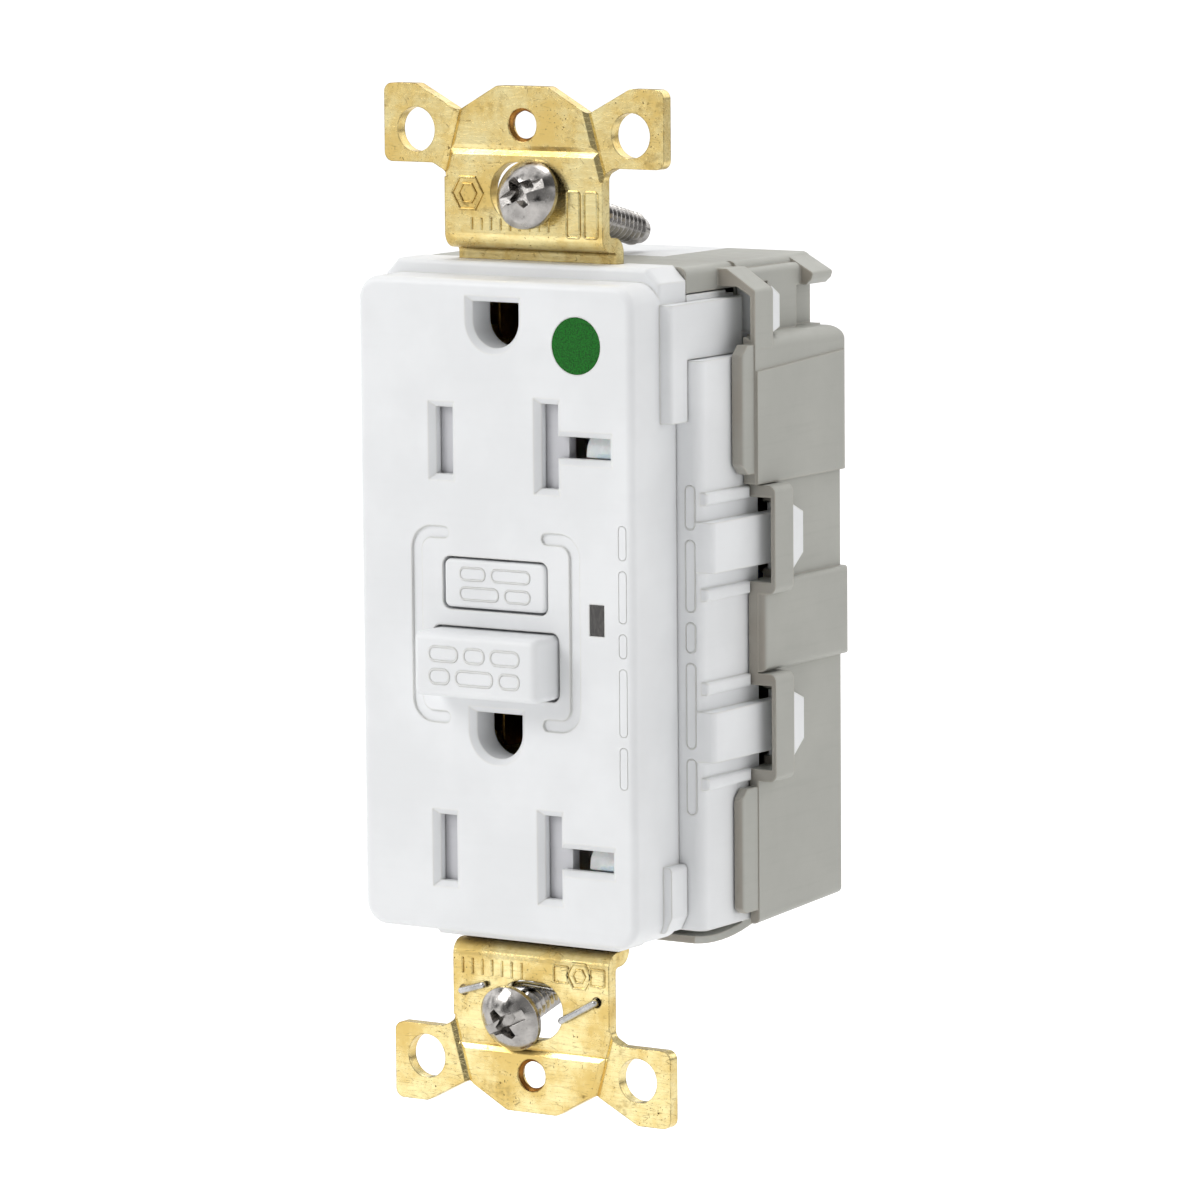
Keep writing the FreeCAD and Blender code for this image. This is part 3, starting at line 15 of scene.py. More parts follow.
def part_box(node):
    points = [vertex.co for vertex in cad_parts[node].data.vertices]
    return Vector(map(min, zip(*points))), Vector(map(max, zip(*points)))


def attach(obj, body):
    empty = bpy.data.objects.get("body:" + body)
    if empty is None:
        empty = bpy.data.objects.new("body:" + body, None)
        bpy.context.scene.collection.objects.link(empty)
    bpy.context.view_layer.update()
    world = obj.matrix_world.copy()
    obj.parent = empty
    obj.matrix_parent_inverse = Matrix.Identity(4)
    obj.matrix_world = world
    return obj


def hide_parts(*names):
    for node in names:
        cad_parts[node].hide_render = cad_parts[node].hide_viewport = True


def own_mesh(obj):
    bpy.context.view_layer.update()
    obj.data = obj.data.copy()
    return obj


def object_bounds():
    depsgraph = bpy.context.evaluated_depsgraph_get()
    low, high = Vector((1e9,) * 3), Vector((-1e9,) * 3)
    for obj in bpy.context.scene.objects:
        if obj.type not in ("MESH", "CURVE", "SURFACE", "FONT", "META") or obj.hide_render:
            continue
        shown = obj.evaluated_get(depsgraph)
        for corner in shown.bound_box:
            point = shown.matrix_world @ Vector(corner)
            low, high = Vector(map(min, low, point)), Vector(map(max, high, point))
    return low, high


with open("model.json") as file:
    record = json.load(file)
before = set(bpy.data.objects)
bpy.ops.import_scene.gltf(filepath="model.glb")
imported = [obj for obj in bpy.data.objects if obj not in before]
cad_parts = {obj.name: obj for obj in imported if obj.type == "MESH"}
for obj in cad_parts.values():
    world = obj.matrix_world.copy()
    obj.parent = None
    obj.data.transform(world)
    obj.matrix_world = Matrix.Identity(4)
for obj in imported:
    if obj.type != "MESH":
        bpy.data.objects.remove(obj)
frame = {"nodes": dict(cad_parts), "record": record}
cad_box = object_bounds()

MM = 0.001

# where the added pieces sit on the CAD, in millimetres
FACE_FRONT, LEDGE_FRONT = -7.0, 1.15
TEST_Z, TEST_FRONT = 2.55, -7.1
RESET_Z, RESET_FRONT = -5.3, -11.0
STRAP_FRONT = -1.3
PLATE_HOLE_R, PLATE_HOLE_Z, THREAD_PITCH = 1.70, 48.42, 0.794
SHUTTER_FRONT, UPPER_OUTLET_Z, LOWER_OUTLET_Z = -5.45, 16.85, -24.65
PRINT_SINK = 0.02        # how deep a raised mark starts below its surface
SPRING_GAP = 0.03        # free space at each end of a coil

# camera and light
AZIMUTH, ELEVATION, ROLL = 33.087, 7.426, -0.483      # degrees
AIM = Vector((5.60, 3.64, 0.26)) * MM
DISTANCE = 696.1 * MM
LENS = 206.43                                         # on Blender's 36 mm sensor
WORLD_LEVEL = 0.74
SOFTBOXES = (                                         # name, place in metres, size, power
    ("key", (-0.9, -1.3, 1.1), 0.8, 12.8),
    ("fill", (1.5, 0.3, 0.6), 0.9, 2.5),
    ("top", (0.1, 0.4, 1.8), 0.9, 11.5),
)


# ---------------------------------------------------------------- node helpers

def linear(rgb):
    """An sRGB colour as the linear one that shader nodes take."""
    return tuple(c / 12.92 if c <= 0.04045 else ((c + 0.055) / 1.055) ** 2.4 for c in rgb) + (1.0,)


class Shader:
    """A material's node tree with short calls for the nodes used here."""

    def __init__(self, name):
        self.material = bpy.data.materials.new(name)
        self.material.use_nodes = True
        self.tree = self.material.node_tree
        self.surface = self.tree.nodes["Principled BSDF"]
        self.place = self.add("ShaderNodeTexCoord").outputs["Object"]

    def add(self, kind, **settings):
        made = self.tree.nodes.new(kind)
        for key, value in settings.items():
            setattr(made, key, value)
        return made

    def link(self, source, target):
        """Connect an output, or write a plain value, to an input."""
        if isinstance(source, bpy.types.NodeSocket):
            self.tree.links.new(source, target)
        else:
            target.default_value = source

    def stretched(self, scale, turn=(0, 0, 0)):
        """The object's coordinates in metres, turned and then scaled."""
        mapping = self.add("ShaderNodeMapping", vector_type="POINT")
        self.link(self.place, mapping.inputs["Vector"])
        mapping.inputs["Scale"].default_value = scale
        mapping.inputs["Rotation"].default_value = [math.radians(a) for a in turn]
        return mapping.outputs["Vector"]

    def noise(self, size_mm, detail=3.0, rough=0.5, vector=None):
        """Cloudy noise whose largest features are about size_mm across."""
        made = self.add("ShaderNodeTexNoise")
        self.link(vector or self.place, made.inputs["Vector"])
        made.inputs["Scale"].default_value = 1.0 / (size_mm * MM)
        made.inputs["Detail"].default_value = detail
        made.inputs["Roughness"].default_value = rough
        return made.outputs["Fac"]

    def cells(self, size_mm, vector=None, feature="F1"):
        made = self.add("ShaderNodeTexVoronoi", feature=feature)
        self.link(vector or self.place, made.inputs["Vector"])
        made.inputs["Scale"].default_value = 1.0 / (size_mm * MM)
        return made.outputs["Distance"]

    def step(self, value, low, high, out_low=0.0, out_high=1.0):
        """A smooth step of value between low and high."""
        made = self.add("ShaderNodeMapRange", interpolation_type="SMOOTHSTEP")
        self.link(value, made.inputs["Value"])
        made.inputs["From Min"].default_value = low
        made.inputs["From Max"].default_value = high
        made.inputs["To Min"].default_value = out_low
        made.inputs["To Max"].default_value = out_high
        return made.outputs["Result"]

    def math(self, operation, a, b):
        made = self.add("ShaderNodeMath", operation=operation)
        self.link(a, made.inputs[0])
        self.link(b, made.inputs[1])
        return made.outputs[0]

    def mix(self, share, first, second):
        """Two colours mixed by share."""
        made = self.add("ShaderNodeMix", data_type="RGBA")
        self.link(share, made.inputs["Factor"])
        self.link(first, made.inputs["A"])
        self.link(second, made.inputs["B"])
        return made.outputs["Result"]

    def edges(self, radius_mm):
        """A mask that is 1 along the piece's outer and inner edges."""
        bevel = self.add("ShaderNodeBevel", samples=4)
        bevel.inputs["Radius"].default_value = radius_mm * MM
        geometry = self.add("ShaderNodeNewGeometry")
        dot = self.add("ShaderNodeVectorMath", operation="DOT_PRODUCT")
        self.link(bevel.outputs["Normal"], dot.inputs[0])
        self.link(geometry.outputs["Normal"], dot.inputs[1])
        return self.step(dot.outputs["Value"], 0.995, 0.86)

    def facing(self, axis, low, high):
        """A mask of the surfaces that look along an axis, from 0 at low to 1 at high."""
        geometry = self.add("ShaderNodeNewGeometry")
        dot = self.add("ShaderNodeVectorMath", operation="DOT_PRODUCT")
        self.link(geometry.outputs["Normal"], dot.inputs[0])
        dot.inputs[1].default_value = axis
        return self.step(dot.outputs["Value"], low, high)

    def hollows(self, reach_mm, low=0.35, high=0.75):
        """A mask that is 1 deep in the piece's own corners and recesses."""
        made = self.add("ShaderNodeAmbientOcclusion", samples=4)
        made.inputs["Distance"].default_value = reach_mm * MM
        return self.step(made.outputs["AO"], high, low)

    def bump(self, height, depth_mm, strength=1.0, round_mm=None):
        """Bump from a height field, on normals softened over a small edge radius."""
        made = self.add("ShaderNodeBump")
        self.link(height, made.inputs["Height"])
        made.inputs["Distance"].default_value = depth_mm * MM
        made.inputs["Strength"].default_value = strength
        if round_mm:
            bevel = self.add("ShaderNodeBevel", samples=4)
            bevel.inputs["Radius"].default_value = round_mm * MM
            self.link(bevel.outputs["Normal"], made.inputs["Normal"])
        self.link(made.outputs["Normal"], self.surface.inputs["Normal"])

    def finish(self, color, roughness, metallic=0.0, **more):
        self.link(color, self.surface.inputs["Base Color"])
        self.link(roughness, self.surface.inputs["Roughness"])
        self.surface.inputs["Metallic"].default_value = metallic
        for key, value in more.items():
            self.link(value, self.surface.inputs[key.replace("_", " ")])
        return self.material


# ---------------------------------------------------------------- materials

def moulded(name, color, edge_highlight_color, roughness, grain_mm=0.22, round_mm=0.3, front_shade_color=None,
            streak=0.16, shade=0.35):
    """Injection-moulded plastic: fine texture, faint flow streaks and paler edges, which are a painted
    highlight.

    Faces that look forward take front_shade_color if it is given, a painted shade; streak and shade say how
    much the flow lines and the painted shade in inner corners show.
    """
    s = Shader(name)
    base = linear(color)
    # painted shade: faces that look forward are darkened to the front colour
    if front_shade_color:
        base = s.mix(s.facing((0, -1, 0), 0.35, 0.9), base, linear(front_shade_color))
    cloud = s.noise(9.0, 4.0)
    dull = s.mix(0.5, base, linear([c * 0.95 for c in color]))
    tone = s.mix(s.step(cloud, 0.35, 0.7), dull, base)
    streaks = s.noise(1.3, 3.0, vector=s.stretched((0.12, 0.12, 2.2)))
    tone = s.mix(s.step(streaks, 0.5, 0.8, 0.0, streak), tone, linear([c * 0.86 for c in color]))
    # painted shade: darker deep in the piece's own corners and recesses
    tone = s.mix(s.math("MULTIPLY", s.hollows(1.1), shade), tone, linear([c * 0.62 for c in color]))
    # painted highlight: rounded edges are made paler in the edge colour
    tone = s.mix(s.math("MULTIPLY", s.edges(round_mm), 0.85), tone, linear(edge_highlight_color))
    grain = s.noise(grain_mm, 2.0)
    s.bump(s.math("ADD", grain, s.math("MULTIPLY", streaks, streak * 4)), 0.005, 0.5, round_mm)
    gloss = s.step(s.noise(1.6, 5.0), 0.3, 0.75, roughness - 0.05, roughness + 0.07)
    return s.finish(tone, gloss, Specular_IOR_Level=0.45)


def rolled_brass(name, bright, deep, stain, flecks=1.0, roughness=0.24):
    """Stamped brass sheet: rolling lines, handling scratches, tarnish specks and dark edges."""
    s = Shader(name)
    cloud = s.noise(5.5, 7.0, 0.66)
    tone = s.mix(s.step(cloud, 0.36, 0.64), linear(bright), linear(deep))
    patches = s.math("MULTIPLY", s.step(s.noise(3.4, 6.0, 0.7), 0.52, 0.70),
                     s.step(s.noise(0.7, 5.0), 0.35, 0.6))
    tone = s.mix(s.math("MULTIPLY", patches, 0.55), tone,
                 linear([(d + t) / 2 for d, t in zip(deep, stain)]))
    rolling = s.noise(0.30, 3.0, vector=s.stretched((0.06, 1, 1)))
    tone = s.mix(s.step(rolling, 0.45, 0.75, 0.0, 0.22), tone, linear(deep))

    scratch_a = s.cells(1.1, s.stretched((0.30, 1, 1.6), (0, 35, 0)), "DISTANCE_TO_EDGE")
    scratch_b = s.cells(1.5, s.stretched((0.22, 1, 1.5), (0, -42, 0)), "DISTANCE_TO_EDGE")
    lines = s.math("MAXIMUM", s.step(scratch_a, 0.022, 0.0), s.step(scratch_b, 0.018, 0.0))
    broken = s.math("MULTIPLY", lines, s.step(s.noise(0.8, 4.0), 0.52, 0.62))
    worn = s.step(s.noise(3.0, 4.0), 0.45, 0.62)
    dots = s.math("MULTIPLY", s.step(s.noise(0.24, 2.0), 0.66, 0.73), worn)
    marks = s.math("MULTIPLY", s.math("MAXIMUM", s.math("MULTIPLY", broken, 0.55), dots), flecks)
    tone = s.mix(marks, tone, linear(stain))
    rim = s.math("MULTIPLY", s.edges(0.22), s.step(s.noise(0.9, 4.0), 0.38, 0.6, 0.10, 0.80))
    tone = s.mix(rim, tone, linear(stain))
    # painted shade: darker towards corners and recesses
    tone = s.mix(s.math("MULTIPLY", s.hollows(1.6), 0.55), tone, linear(stain))

    height = s.math("ADD", s.noise(0.5, 5.0), s.math("MULTIPLY", rolling, 0.4))
    height = s.math("SUBTRACT", height, s.math("MULTIPLY", lines, 0.5))
    height = s.math("ADD", height, s.math("MULTIPLY", s.noise(4.0, 2.0), 3.0))
    s.bump(height, 0.014, 0.5, 0.14)
    gloss = s.math("ADD", s.step(cloud, 0.3, 0.7, roughness - 0.06, roughness + 0.08),
                   s.math("MULTIPLY", marks, 0.3))
    return s.finish(tone, gloss, 1.0)


def plated_steel(name, color, roughness, corner_shade=(0.16, 0.14, 0.12)):
    """Zinc-plated steel with fine tool marks, dull patches and painted shade darkening its corners."""
    s = Shader(name)
    cloud = s.noise(1.6, 5.0, 0.6)
    tone = s.mix(s.step(cloud, 0.3, 0.7), linear(color), linear([c * 0.80 for c in color]))
    # painted shade: corners and recesses are darkened to a deep brown
    tone = s.mix(s.math("MULTIPLY", s.hollows(0.9, 0.25, 0.8), 0.9), tone, linear(corner_shade))
    spots = s.math("MULTIPLY", s.step(s.noise(0.22, 3.0), 0.62, 0.72), 0.5)
    tone = s.mix(spots, tone, linear([c * 0.5 for c in color]))
    s.bump(s.math("ADD", s.noise(0.14, 3.0), s.math("MULTIPLY", s.noise(1.1, 3.0), 1.5)), 0.010, 0.45, 0.12)
    gloss = s.step(s.noise(0.7, 5.0), 0.35, 0.72, roughness - 0.05, roughness + 0.14)
    return s.finish(tone, gloss, 1.0)


def speckled_green():
    """The printed dot: ink with a fine dark speckle."""
    s = Shader("green_ink")
    speck = s.noise(0.16, 3.0, 0.75)
    tone = s.mix(s.step(speck, 0.38, 0.64), linear((0.07, 0.45, 0.10)), linear((0.02, 0.27, 0.04)))
    s.bump(speck, 0.006, 0.5)
    return s.finish(tone, s.step(s.noise(0.6), 0.3, 0.7, 0.5, 0.65), Specular_IOR_Level=0.25)


def smoked_lens():
    """A smoke-grey light pipe with fine moulding lines."""
    s = Shader("smoked_lens")
    lines = s.noise(0.25, 3.0, vector=s.stretched((1, 1, 0.3)))
    tone = s.mix(s.step(lines, 0.4, 0.65), linear((0.20, 0.19, 0.185)), linear((0.27, 0.26, 0.25)))
    tone = s.mix(s.math("MULTIPLY", s.edges(0.12), 0.5), tone, linear((0.10, 0.09, 0.09)))
    s.bump(lines, 0.006, 0.5, 0.15)
    return s.finish(tone, s.step(lines, 0.3, 0.7, 0.12, 0.24), Coat_Weight=0.4, Coat_Roughness=0.08)


def frosted(name, color):
    """Translucent unpigmented plastic with a satin skin."""
    s = Shader(name)
    tone = s.mix(s.step(s.noise(1.5, 4.0), 0.3, 0.7), linear(color), linear([c * 0.93 for c in color]))
    s.bump(s.noise(0.3, 3.0), 0.006, 0.5, 0.15)
    gloss = s.step(s.noise(0.8, 4.0), 0.3, 0.7, 0.18, 0.32)
    return s.finish(tone, gloss, Subsurface_Weight=0.35, Subsurface_Scale=1.5 * MM)


def wound_copper(name, color, turns_mm=0.35):
    """An enamelled winding: fine ridges, and small tone changes between turns."""
    s = Shader(name)
    turns = s.noise(turns_mm, 1.0, vector=s.stretched((0.4, 0.4, 3.0)))
    tone = s.mix(s.step(turns, 0.35, 0.65), linear(color), linear([c * 0.55 for c in color]))
    s.bump(turns, 0.08, 0.8)
    return s.finish(tone, s.step(s.noise(0.8), 0.3, 0.7, 0.22, 0.38), 0.75)


def solder_mask():
    s = Shader("solder_mask")
    weave = s.math("MULTIPLY", s.noise(0.5, 1.0, vector=s.stretched((1, 1, 0.2))),
                   s.noise(0.5, 1.0, vector=s.stretched((0.2, 1, 1))))
    tracks = s.step(s.cells(3.2, s.stretched((1, 0.01, 1)), "DISTANCE_TO_EDGE"), 0.10, 0.07)
    tone = s.mix(tracks, linear((0.07, 0.30, 0.14)), linear((0.13, 0.42, 0.20)))
    tone = s.mix(s.step(weave, 0.2, 0.4, 0.0, 0.25), tone, linear((0.04, 0.20, 0.09)))
    s.bump(s.math("ADD", tracks, weave), 0.02, 0.5)
    return s.finish(tone, s.step(s.noise(0.8), 0.3, 0.7, 0.25, 0.4))


def dipped(name, color, roughness=0.28):
    """Lacquered or epoxy-dipped part: gentle ripples and flecks of pigment."""
    s = Shader(name)
    ripple = s.noise(1.2, 3.0)
    tone = s.mix(s.step(s.noise(0.3, 4.0), 0.35, 0.7), linear(color), linear([c * 0.8 for c in color]))
    s.bump(ripple, 0.03, 0.4)
    return s.finish(tone, s.step(ripple, 0.3, 0.7, roughness - 0.06, roughness + 0.1))


WHITE = moulded("white_plastic", (0.930, 0.935, 0.940), (0.945, 0.940, 0.915), 0.40,
                streak=0.03, shade=0.15)
# the gray's front colour is painted shade on faces that look forward
GRAY = moulded("gray_plastic", (0.690, 0.690, 0.662), (0.785, 0.765, 0.720), 0.44, 0.16, 0.32,
               front_shade_color=(0.605, 0.580, 0.540), shade=0.6)
SHUTTER = moulded("shutter_plastic", (0.80, 0.80, 0.815), (0.86, 0.86, 0.86), 0.42, 0.2, 0.2)
BLACK = moulded("black_plastic", (0.09, 0.09, 0.09), (0.16, 0.16, 0.16), 0.45, 0.2, 0.2)
BRASS = rolled_brass("brass_plate", (0.995, 0.930, 0.690), (0.905, 0.785, 0.480), (0.34, 0.24, 0.09))
CONTACT = rolled_brass("contact_brass", (0.66, 0.52, 0.27), (0.50, 0.37, 0.16), (0.20, 0.12, 0.05),
                       0.5, 0.32)
THREAD = rolled_brass("thread_brass", (0.80, 0.60, 0.32), (0.58, 0.38, 0.16), (0.22, 0.12, 0.04), 0.6, 0.26)
SCREW = plated_steel("screw_steel", (0.76, 0.745, 0.73), 0.15)
WIRE = plated_steel("spring_wire", (0.84, 0.84, 0.84), 0.20)
CORE = plated_steel("core_steel", (0.66, 0.66, 0.67), 0.30)
COPPER = wound_copper("copper_winding", (0.72, 0.36, 0.16))
FROST = frosted("frosted_plastic", (0.90, 0.90, 0.90))

FINISHES = {
    "white_plastic": WHITE, "gray_plastic": GRAY, "green_plastic": speckled_green(),
    "smoke_lens": smoked_lens(), "brass_plate": BRASS, "contact_brass": CONTACT,
    "screw_steel": SCREW, "spring_steel": WIRE, "core_steel": CORE, "shutter_plastic": SHUTTER,
    "black_plastic": BLACK, "copper_wire": COPPER, "board_green": solder_mask(),
    "varistor_blue": dipped("varistor_epoxy", (0.10, 0.28, 0.60)),
    "resistor_tan": dipped("resistor_lacquer", (0.74, 0.62, 0.42)),
    "led_red": dipped("led_epoxy", (0.62, 0.07, 0.05), 0.15),
}


def dress_cad():
    """Give every carried-over CAD node the finish of its material slot."""
    slots = {part["node"]: part["material_slot"] for part in frame["record"]["subparts"]}
    for name, obj in frame["nodes"].items():
        obj.data.materials.clear()
        obj.data.materials.append(FINISHES[slots[name]])


# ---------------------------------------------------------------- added pieces

def piece(name, mesh, body, finish):
    """Turn a bmesh in millimetres into a piece that rides on a CAD body."""
    bmesh.ops.recalc_face_normals(mesh, faces=mesh.faces)
    bmesh.ops.scale(mesh, vec=(MM, MM, MM), verts=mesh.verts)
    data = bpy.data.meshes.new(name)
    mesh.to_mesh(data)
    mesh.free()
    data.materials.append(finish)
    obj = bpy.data.objects.new(name, data)
    bpy.context.scene.collection.objects.link(obj)
    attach(obj, body)
    return obj


def join_rows(mesh, rows, closed):
    """Skin a run of equal vertex loops; open runs get end caps."""
    pairs = list(zip(rows, rows[1:]))
    if closed:
        pairs.append((rows[-1], rows[0]))
    else:
        mesh.faces.new(rows[0])
        mesh.faces.new(reversed(rows[-1]))
    for a, b in pairs:
        for k in range(len(a)):
            n = (k + 1) % len(a)
            mesh.faces.new((a[k], a[n], b[n], b[k]))


def rib(mesh, points, closed, half_w, base_y, lift):
    """A low rib with sloping sides along (x, z) points, standing out towards -Y."""
    spots = [Vector(point) for point in points]
    rows = []
    for i, spot in enumerate(spots):
        into = (spot - spots[i - 1]).normalized() if closed or i else None
        last = not closed and i == len(spots) - 1
        out = None if last else (spots[(i + 1) % len(spots)] - spot).normalized()
        into, out = into or out, out or into
        run = (into + out).normalized()
        side = Vector((-run.y, run.x)) / max(run.dot(out), 0.3)
        rows.append([mesh.verts.new((spot.x + side.x * w, y, spot.y + side.y * w)) for w, y in (
            (-half_w, base_y), (-half_w * 0.5, base_y - lift), (half_w * 0.5, base_y - lift),
            (half_w, base_y))])
    join_rows(mesh, rows, closed)


def arc_points(x, z, radius, start=0, end=360, count=36):
    turns = [math.radians(start + (end - start) * i / count) for i in range(count)]
    return [(x + radius * math.cos(t), z + radius * math.sin(t)) for t in turns]


def slab_points(x, z, half_w, half_h, radius):
    """The outline of a rectangle with round corners."""
    points = []
    for sx, sz, start in ((1, 1, 0), (-1, 1, 90), (-1, -1, 180), (1, -1, 270)):
        corner = x + sx * (half_w - radius), z + sz * (half_h - radius)
        points += arc_points(*corner, radius, start, start + 108, 6)
    return points


def return_springs():
    """Coil springs in place of the CAD ones, fixed on the housing."""
    for node, joint, along, toward, wire_r, turns, travel in (
            ("test_spring", "test_press", 1, 1, 0.18, 5, 1.5),
            ("reset_spring", "reset_press", 1, 1, 0.18, 5, 3.0),
            ("shutter_spring_upper", "shutter_upper_slide", 0, 0, 0.13, 8, 2.8),
            ("shutter_spring_lower", "shutter_lower_slide", 0, 0, 0.13, 8, 2.8)):
        ends = [Vector(corner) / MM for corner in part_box(node)]
        middle, length = (ends[0] + ends[1]) / 2, ends[1][along] - ends[0][along] - 2 * SPRING_GAP
        radius = (ends[1].z - ends[0].z) / 2 - wire_r
        mesh, rows, steps = bmesh.new(), [], turns * 32
        for i in range(steps + 1):
            turn = 2 * math.pi * turns * i / steps
            place = ends[0][along] + SPRING_GAP + wire_r + (length - 2 * wire_r) * i / steps
            rows.append([])
            for k in range(10):
                round_wire = 2 * math.pi * k / 10
                out = radius + wire_r * math.cos(round_wire)
                spot = middle.copy()
                spot[along] = place + wire_r * math.sin(round_wire)
                spot[1 - along] += out * math.cos(turn)
                spot.z += out * math.sin(turn)
                rows[-1].append(mesh.verts.new(spot))
        join_rows(mesh, rows, False)
        coil = piece(node + "_coil", mesh, "housing", WIRE)
        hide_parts(node)
        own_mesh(coil)


def button_symbols():
    """Two rows of plain raised pills in place of the words on each button."""
    test = bmesh.new()
    pill_row(test, TEST_Z + 1.0, (1.5, 2.3), 0.62, 0.14, TEST_FRONT)
    pill_row(test, TEST_Z - 1.0, (2.3, 1.5), 0.62, 0.14, TEST_FRONT)
    piece("test_symbol", test, "test_button", WHITE)
    reset = bmesh.new()
    pill_row(reset, RESET_Z + 1.15, (1.7, 1.2, 1.7), 0.72, 0.16, RESET_FRONT)
    pill_row(reset, RESET_Z - 1.15, (1.2, 2.2, 1.2), 0.72, 0.16, RESET_FRONT)
    piece("reset_symbol", reset, "reset_button", WHITE)


def pill_row(mesh, z, half_widths, half_h, line, front, lift=0.1, gap=0.8):
    """Raised pill outlines of the given half widths side by side, centred on x = 0."""
    x = -sum(half_widths) - gap * (len(half_widths) - 1) / 2
    for half_w in half_widths:
        outline = slab_points(x + half_w, z, half_w, half_h, half_h * 0.9)
        rib(mesh, outline, True, line, front + PRINT_SINK, lift)
        x += 2 * half_w + gap


def cover_marks():
    """Columns of small raised pills where the face and the housing's ledge carry wording."""
    for name, front, x, top, half_w, line, lift, runs in (
            ("face_marks", FACE_FRONT, 15.2, 9.4, 0.45, 0.07, 0.04, (1.7, 2.6, 1.2, 3.4, 2.1)),
            ("ledge_marks", LEDGE_FRONT, 18.0, 12.8, 0.55, 0.11, 0.08, (2.2, 3.6, 1.5, 4.3, 2.8))):
        mesh, z = bmesh.new(), top
        for half_h in runs:
            rib(mesh, slab_points(x, z - half_h, half_w, half_h, half_w * 0.9), True, line,
                front + PRINT_SINK, lift)
            z -= 2 * half_h + 1.1
        piece(name, mesh, "housing", WHITE)


def strap_stamps():
    """Plain raised shapes pressed into the strap: frames, a hexagon and rows of tally strokes."""
    upper, y, lift = bmesh.new(), STRAP_FRONT + 0.03, 0.17
    rib(upper, arc_points(-6.7, 41.4, 1.85, count=6), True, 0.15, y, lift)
    rib(upper, arc_points(-6.7, 41.4, 1.05, count=6), True, 0.14, y, lift)
    for x in (6.0, 8.1):
        rib(upper, slab_points(x, 39.6, 0.78, 2.3, 0.3), True, 0.15, y, lift)
    for k in range(9):
        rib(upper, [(-6.2 + 1.15 * k, 37.75), (-6.2 + 1.15 * k, 38.95)], False, 0.15, y, lift)
    piece("strap_stamps_upper", upper, "housing", BRASS)
    lower = bmesh.new()
    for k in range(7):
        rib(lower, [(-8.3 + 1.2 * k, -36.9), (-8.3 + 1.2 * k, -38.5)], False, 0.16, y, lift)
    for x, half in ((3.7, 0.85), (8.1, 0.85)):
        rib(lower, slab_points(x, -37.6, half, half, 0.15), True, 0.14, y, lift)
    rib(lower, arc_points(5.9, -37.6, 1.45, count=6), True, 0.15, y, lift)
    rib(lower, arc_points(5.9, -37.6, 0.75, count=6), True, 0.13, y, lift)
    piece("strap_stamps_lower", lower, "housing", BRASS)


def plate_screw_thread(name, z):
    """The helical thread inside a wall-plate hole, which the CAD leaves as a plain bore."""
    mesh, rows, steps = bmesh.new(), [], 84
    wall, crest, half_h = PLATE_HOLE_R + 0.02, PLATE_HOLE_R - 0.30, 0.33
    start, end = STRAP_FRONT + half_h + 0.02, -half_h - 0.02
    for i in range(steps + 1):
        share = i / steps
        turn = 2 * math.pi * (end - start) / THREAD_PITCH * 2 * share
        y = start + (end - start) * share
        fade = min(1.0, 8 * share + 0.1, 8 * (1 - share) + 0.1)
        inner = wall + (crest - wall) * fade
        rows.append([mesh.verts.new((r * math.cos(turn), y + dy, z + r * math.sin(turn)))
                     for r, dy in ((wall, -half_h), (inner, -0.05), (inner, 0.05), (wall, half_h))])
    join_rows(mesh, rows, False)
    piece(name, mesh, "housing", THREAD)


def shutter_ramp(name, z, body):
    """The frosted ramp that the horizontal blade of a 20 A plug pushes aside."""
    mesh = bmesh.new()
    front, back = SHUTTER_FRONT + 0.05, SHUTTER_FRONT + 1.10
    edge = [(10.35, 1.14), (10.15, 0.70), (9.95, 0.25), (9.85, -0.25), (9.82, -0.75), (9.85, -1.14)]
    outline = edge + [(14.2, -1.14), (14.2, 1.14)]
    rows = [[mesh.verts.new((x, y, z + dz)) for x, dz in outline] for y in (back, front + 0.35)]
    rows.append([mesh.verts.new((x + (0.25 if x < 12 else -0.1), front + 0.12 * (dz + 1.14), z + dz * 0.86))
                 for x, dz in outline])
    join_rows(mesh, rows, False)
    ledge = [(11.2, -0.98), (14.0, -0.98), (14.0, -0.62), (11.5, -0.62)]
    rows = [[mesh.verts.new((x, y, z + dz)) for x, dz in ledge] for y in (front + 0.2, front - 0.02)]
    join_rows(mesh, rows, False)
    piece(name, mesh, body, FROST)


# ---------------------------------------------------------------- stage, light and camera

def toward_camera():
    az, el = math.radians(AZIMUTH), math.radians(ELEVATION)
    return Vector((math.sin(az) * math.cos(el), -math.cos(az) * math.cos(el), math.sin(el)))


def make_camera():
    back = toward_camera()
    right = Vector((0, 0, 1)).cross(back).normalized()
    level = Matrix((right, back.cross(right), back)).transposed()
    turn = Matrix.Rotation(math.radians(ROLL), 3, "Z")
    data = bpy.data.cameras.new("camera")
    data.lens = LENS
    data.clip_start, data.clip_end = 0.01, 50.0
    camera = bpy.data.objects.new("camera", data)
    bpy.context.scene.collection.objects.link(camera)
    camera.matrix_world = Matrix.Translation(AIM + back * DISTANCE) @ (level @ turn).to_4x4()
    bpy.context.scene.camera = camera


def make_floor():
    """A wide pale floor, lit to white in the picture like a studio sweep."""
    half, drop = 12.0, 0.16
    mesh = bpy.data.meshes.new("floor")
    corners = [(-half, -half, 0), (half, -half, 0), (half, half, 0), (-half, half, 0)]
    mesh.from_pydata(corners, [], [(0, 1, 2, 3)])
    floor = bpy.data.objects.new("floor", mesh)
    floor.location.z = cad_box[0].z - drop
    bpy.context.scene.collection.objects.link(floor)
    s = Shader("floor_paint")
    tone = s.mix(s.step(s.noise(400.0), 0.3, 0.7),
                 linear((0.985, 0.985, 0.985)), linear((0.975, 0.975, 0.975)))
    seen = s.add("ShaderNodeLightPath").outputs["Is Camera Ray"]
    mesh.materials.append(s.finish(tone, 0.9, Specular_IOR_Level=0.1, Emission_Color=linear((1, 1, 1)),
                                   Emission_Strength=s.math("MULTIPLY", seen, 0.45)))


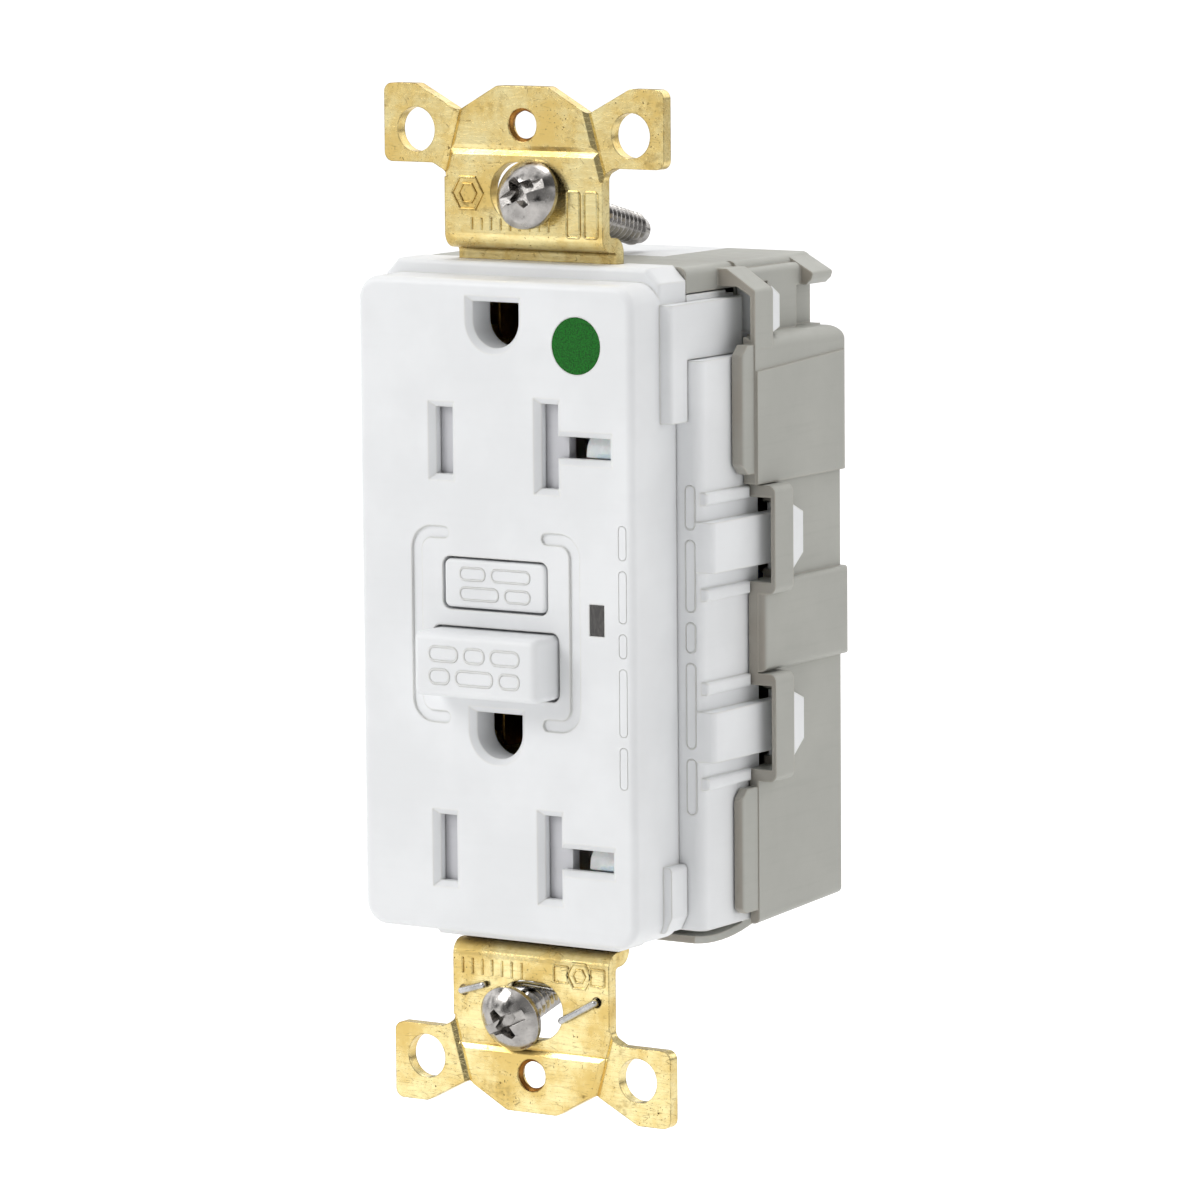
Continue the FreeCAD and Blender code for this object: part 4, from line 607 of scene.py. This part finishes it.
def area_light(name, spot, size, power):
    """A square softbox at a spot, aimed at the part."""
    data = bpy.data.lights.new(name, "AREA")
    data.shape, data.size, data.energy = "SQUARE", size, power
    light = bpy.data.objects.new(name, data)
    light.location = spot
    light.rotation_mode = "QUATERNION"
    light.rotation_quaternion = (AIM - Vector(spot)).to_track_quat("-Z", "Y")
    bpy.context.scene.collection.objects.link(light)


def make_world():
    """A white tent that is dark behind the camera, with cards that only polished metal shows."""
    world = bpy.data.worlds.new("studio")
    world.use_nodes = True
    bpy.context.scene.world = world
    tree = world.node_tree

    def add(kind, **settings):
        made = tree.nodes.new(kind)
        for key, value in settings.items():
            setattr(made, key, value)
        return made

    def ramp(source, low, high, out_low, out_high):
        made = add("ShaderNodeMapRange", interpolation_type="SMOOTHSTEP")
        tree.links.new(source, made.inputs["Value"])
        for key, value in zip(("From Min", "From Max", "To Min", "To Max"), (low, high, out_low, out_high)):
            made.inputs[key].default_value = value
        return made.outputs["Result"]

    def combine(operation, a, b):
        made = add("ShaderNodeMath", operation=operation)
        for socket, value in zip(made.inputs, (a, b)):
            if isinstance(value, float):
                socket.default_value = value
            else:
                tree.links.new(value, socket)
        return made.outputs[0]

    direction = add("ShaderNodeTexCoord").outputs["Generated"]
    dot = add("ShaderNodeVectorMath", operation="DOT_PRODUCT")
    tree.links.new(direction, dot.inputs[0])
    dot.inputs[1].default_value = toward_camera()
    tent = ramp(dot.outputs["Value"], 0.55, 0.95, WORLD_LEVEL, WORLD_LEVEL * 0.25)

    cards = add("ShaderNodeTexNoise")
    tree.links.new(direction, cards.inputs["Vector"])
    cards.inputs["Scale"].default_value = 1.9
    cards.inputs["Detail"].default_value = 1.0
    shine = combine("MULTIPLY", tent, ramp(cards.outputs["Fac"], 0.40, 0.56, 0.22, 1.75))

    path = add("ShaderNodeLightPath")
    plain = combine("MULTIPLY", tent, combine("SUBTRACT", 1.0, path.outputs["Is Glossy Ray"]))
    level = combine("ADD", plain, combine("MULTIPLY", shine, path.outputs["Is Glossy Ray"]))
    level = combine("MAXIMUM", level, path.outputs["Is Camera Ray"])
    tree.links.new(level, tree.nodes["Background"].inputs["Strength"])
    tree.nodes["Background"].inputs["Color"].default_value = (1.0, 1.0, 1.0, 1.0)


def make_light():
    make_world()
    for softbox in SOFTBOXES:
        area_light(*softbox)
    bpy.context.scene.view_settings.view_transform = "Standard"


dress_cad()
return_springs()
button_symbols()
cover_marks()
strap_stamps()
plate_screw_thread("thread_upper", PLATE_HOLE_Z)
plate_screw_thread("thread_lower", -PLATE_HOLE_Z)
shutter_ramp("shutter_ramp_upper", UPPER_OUTLET_Z, "shutter_upper")
shutter_ramp("shutter_ramp_lower", LOWER_OUTLET_Z, "shutter_lower")
make_floor()
make_light()
make_camera()
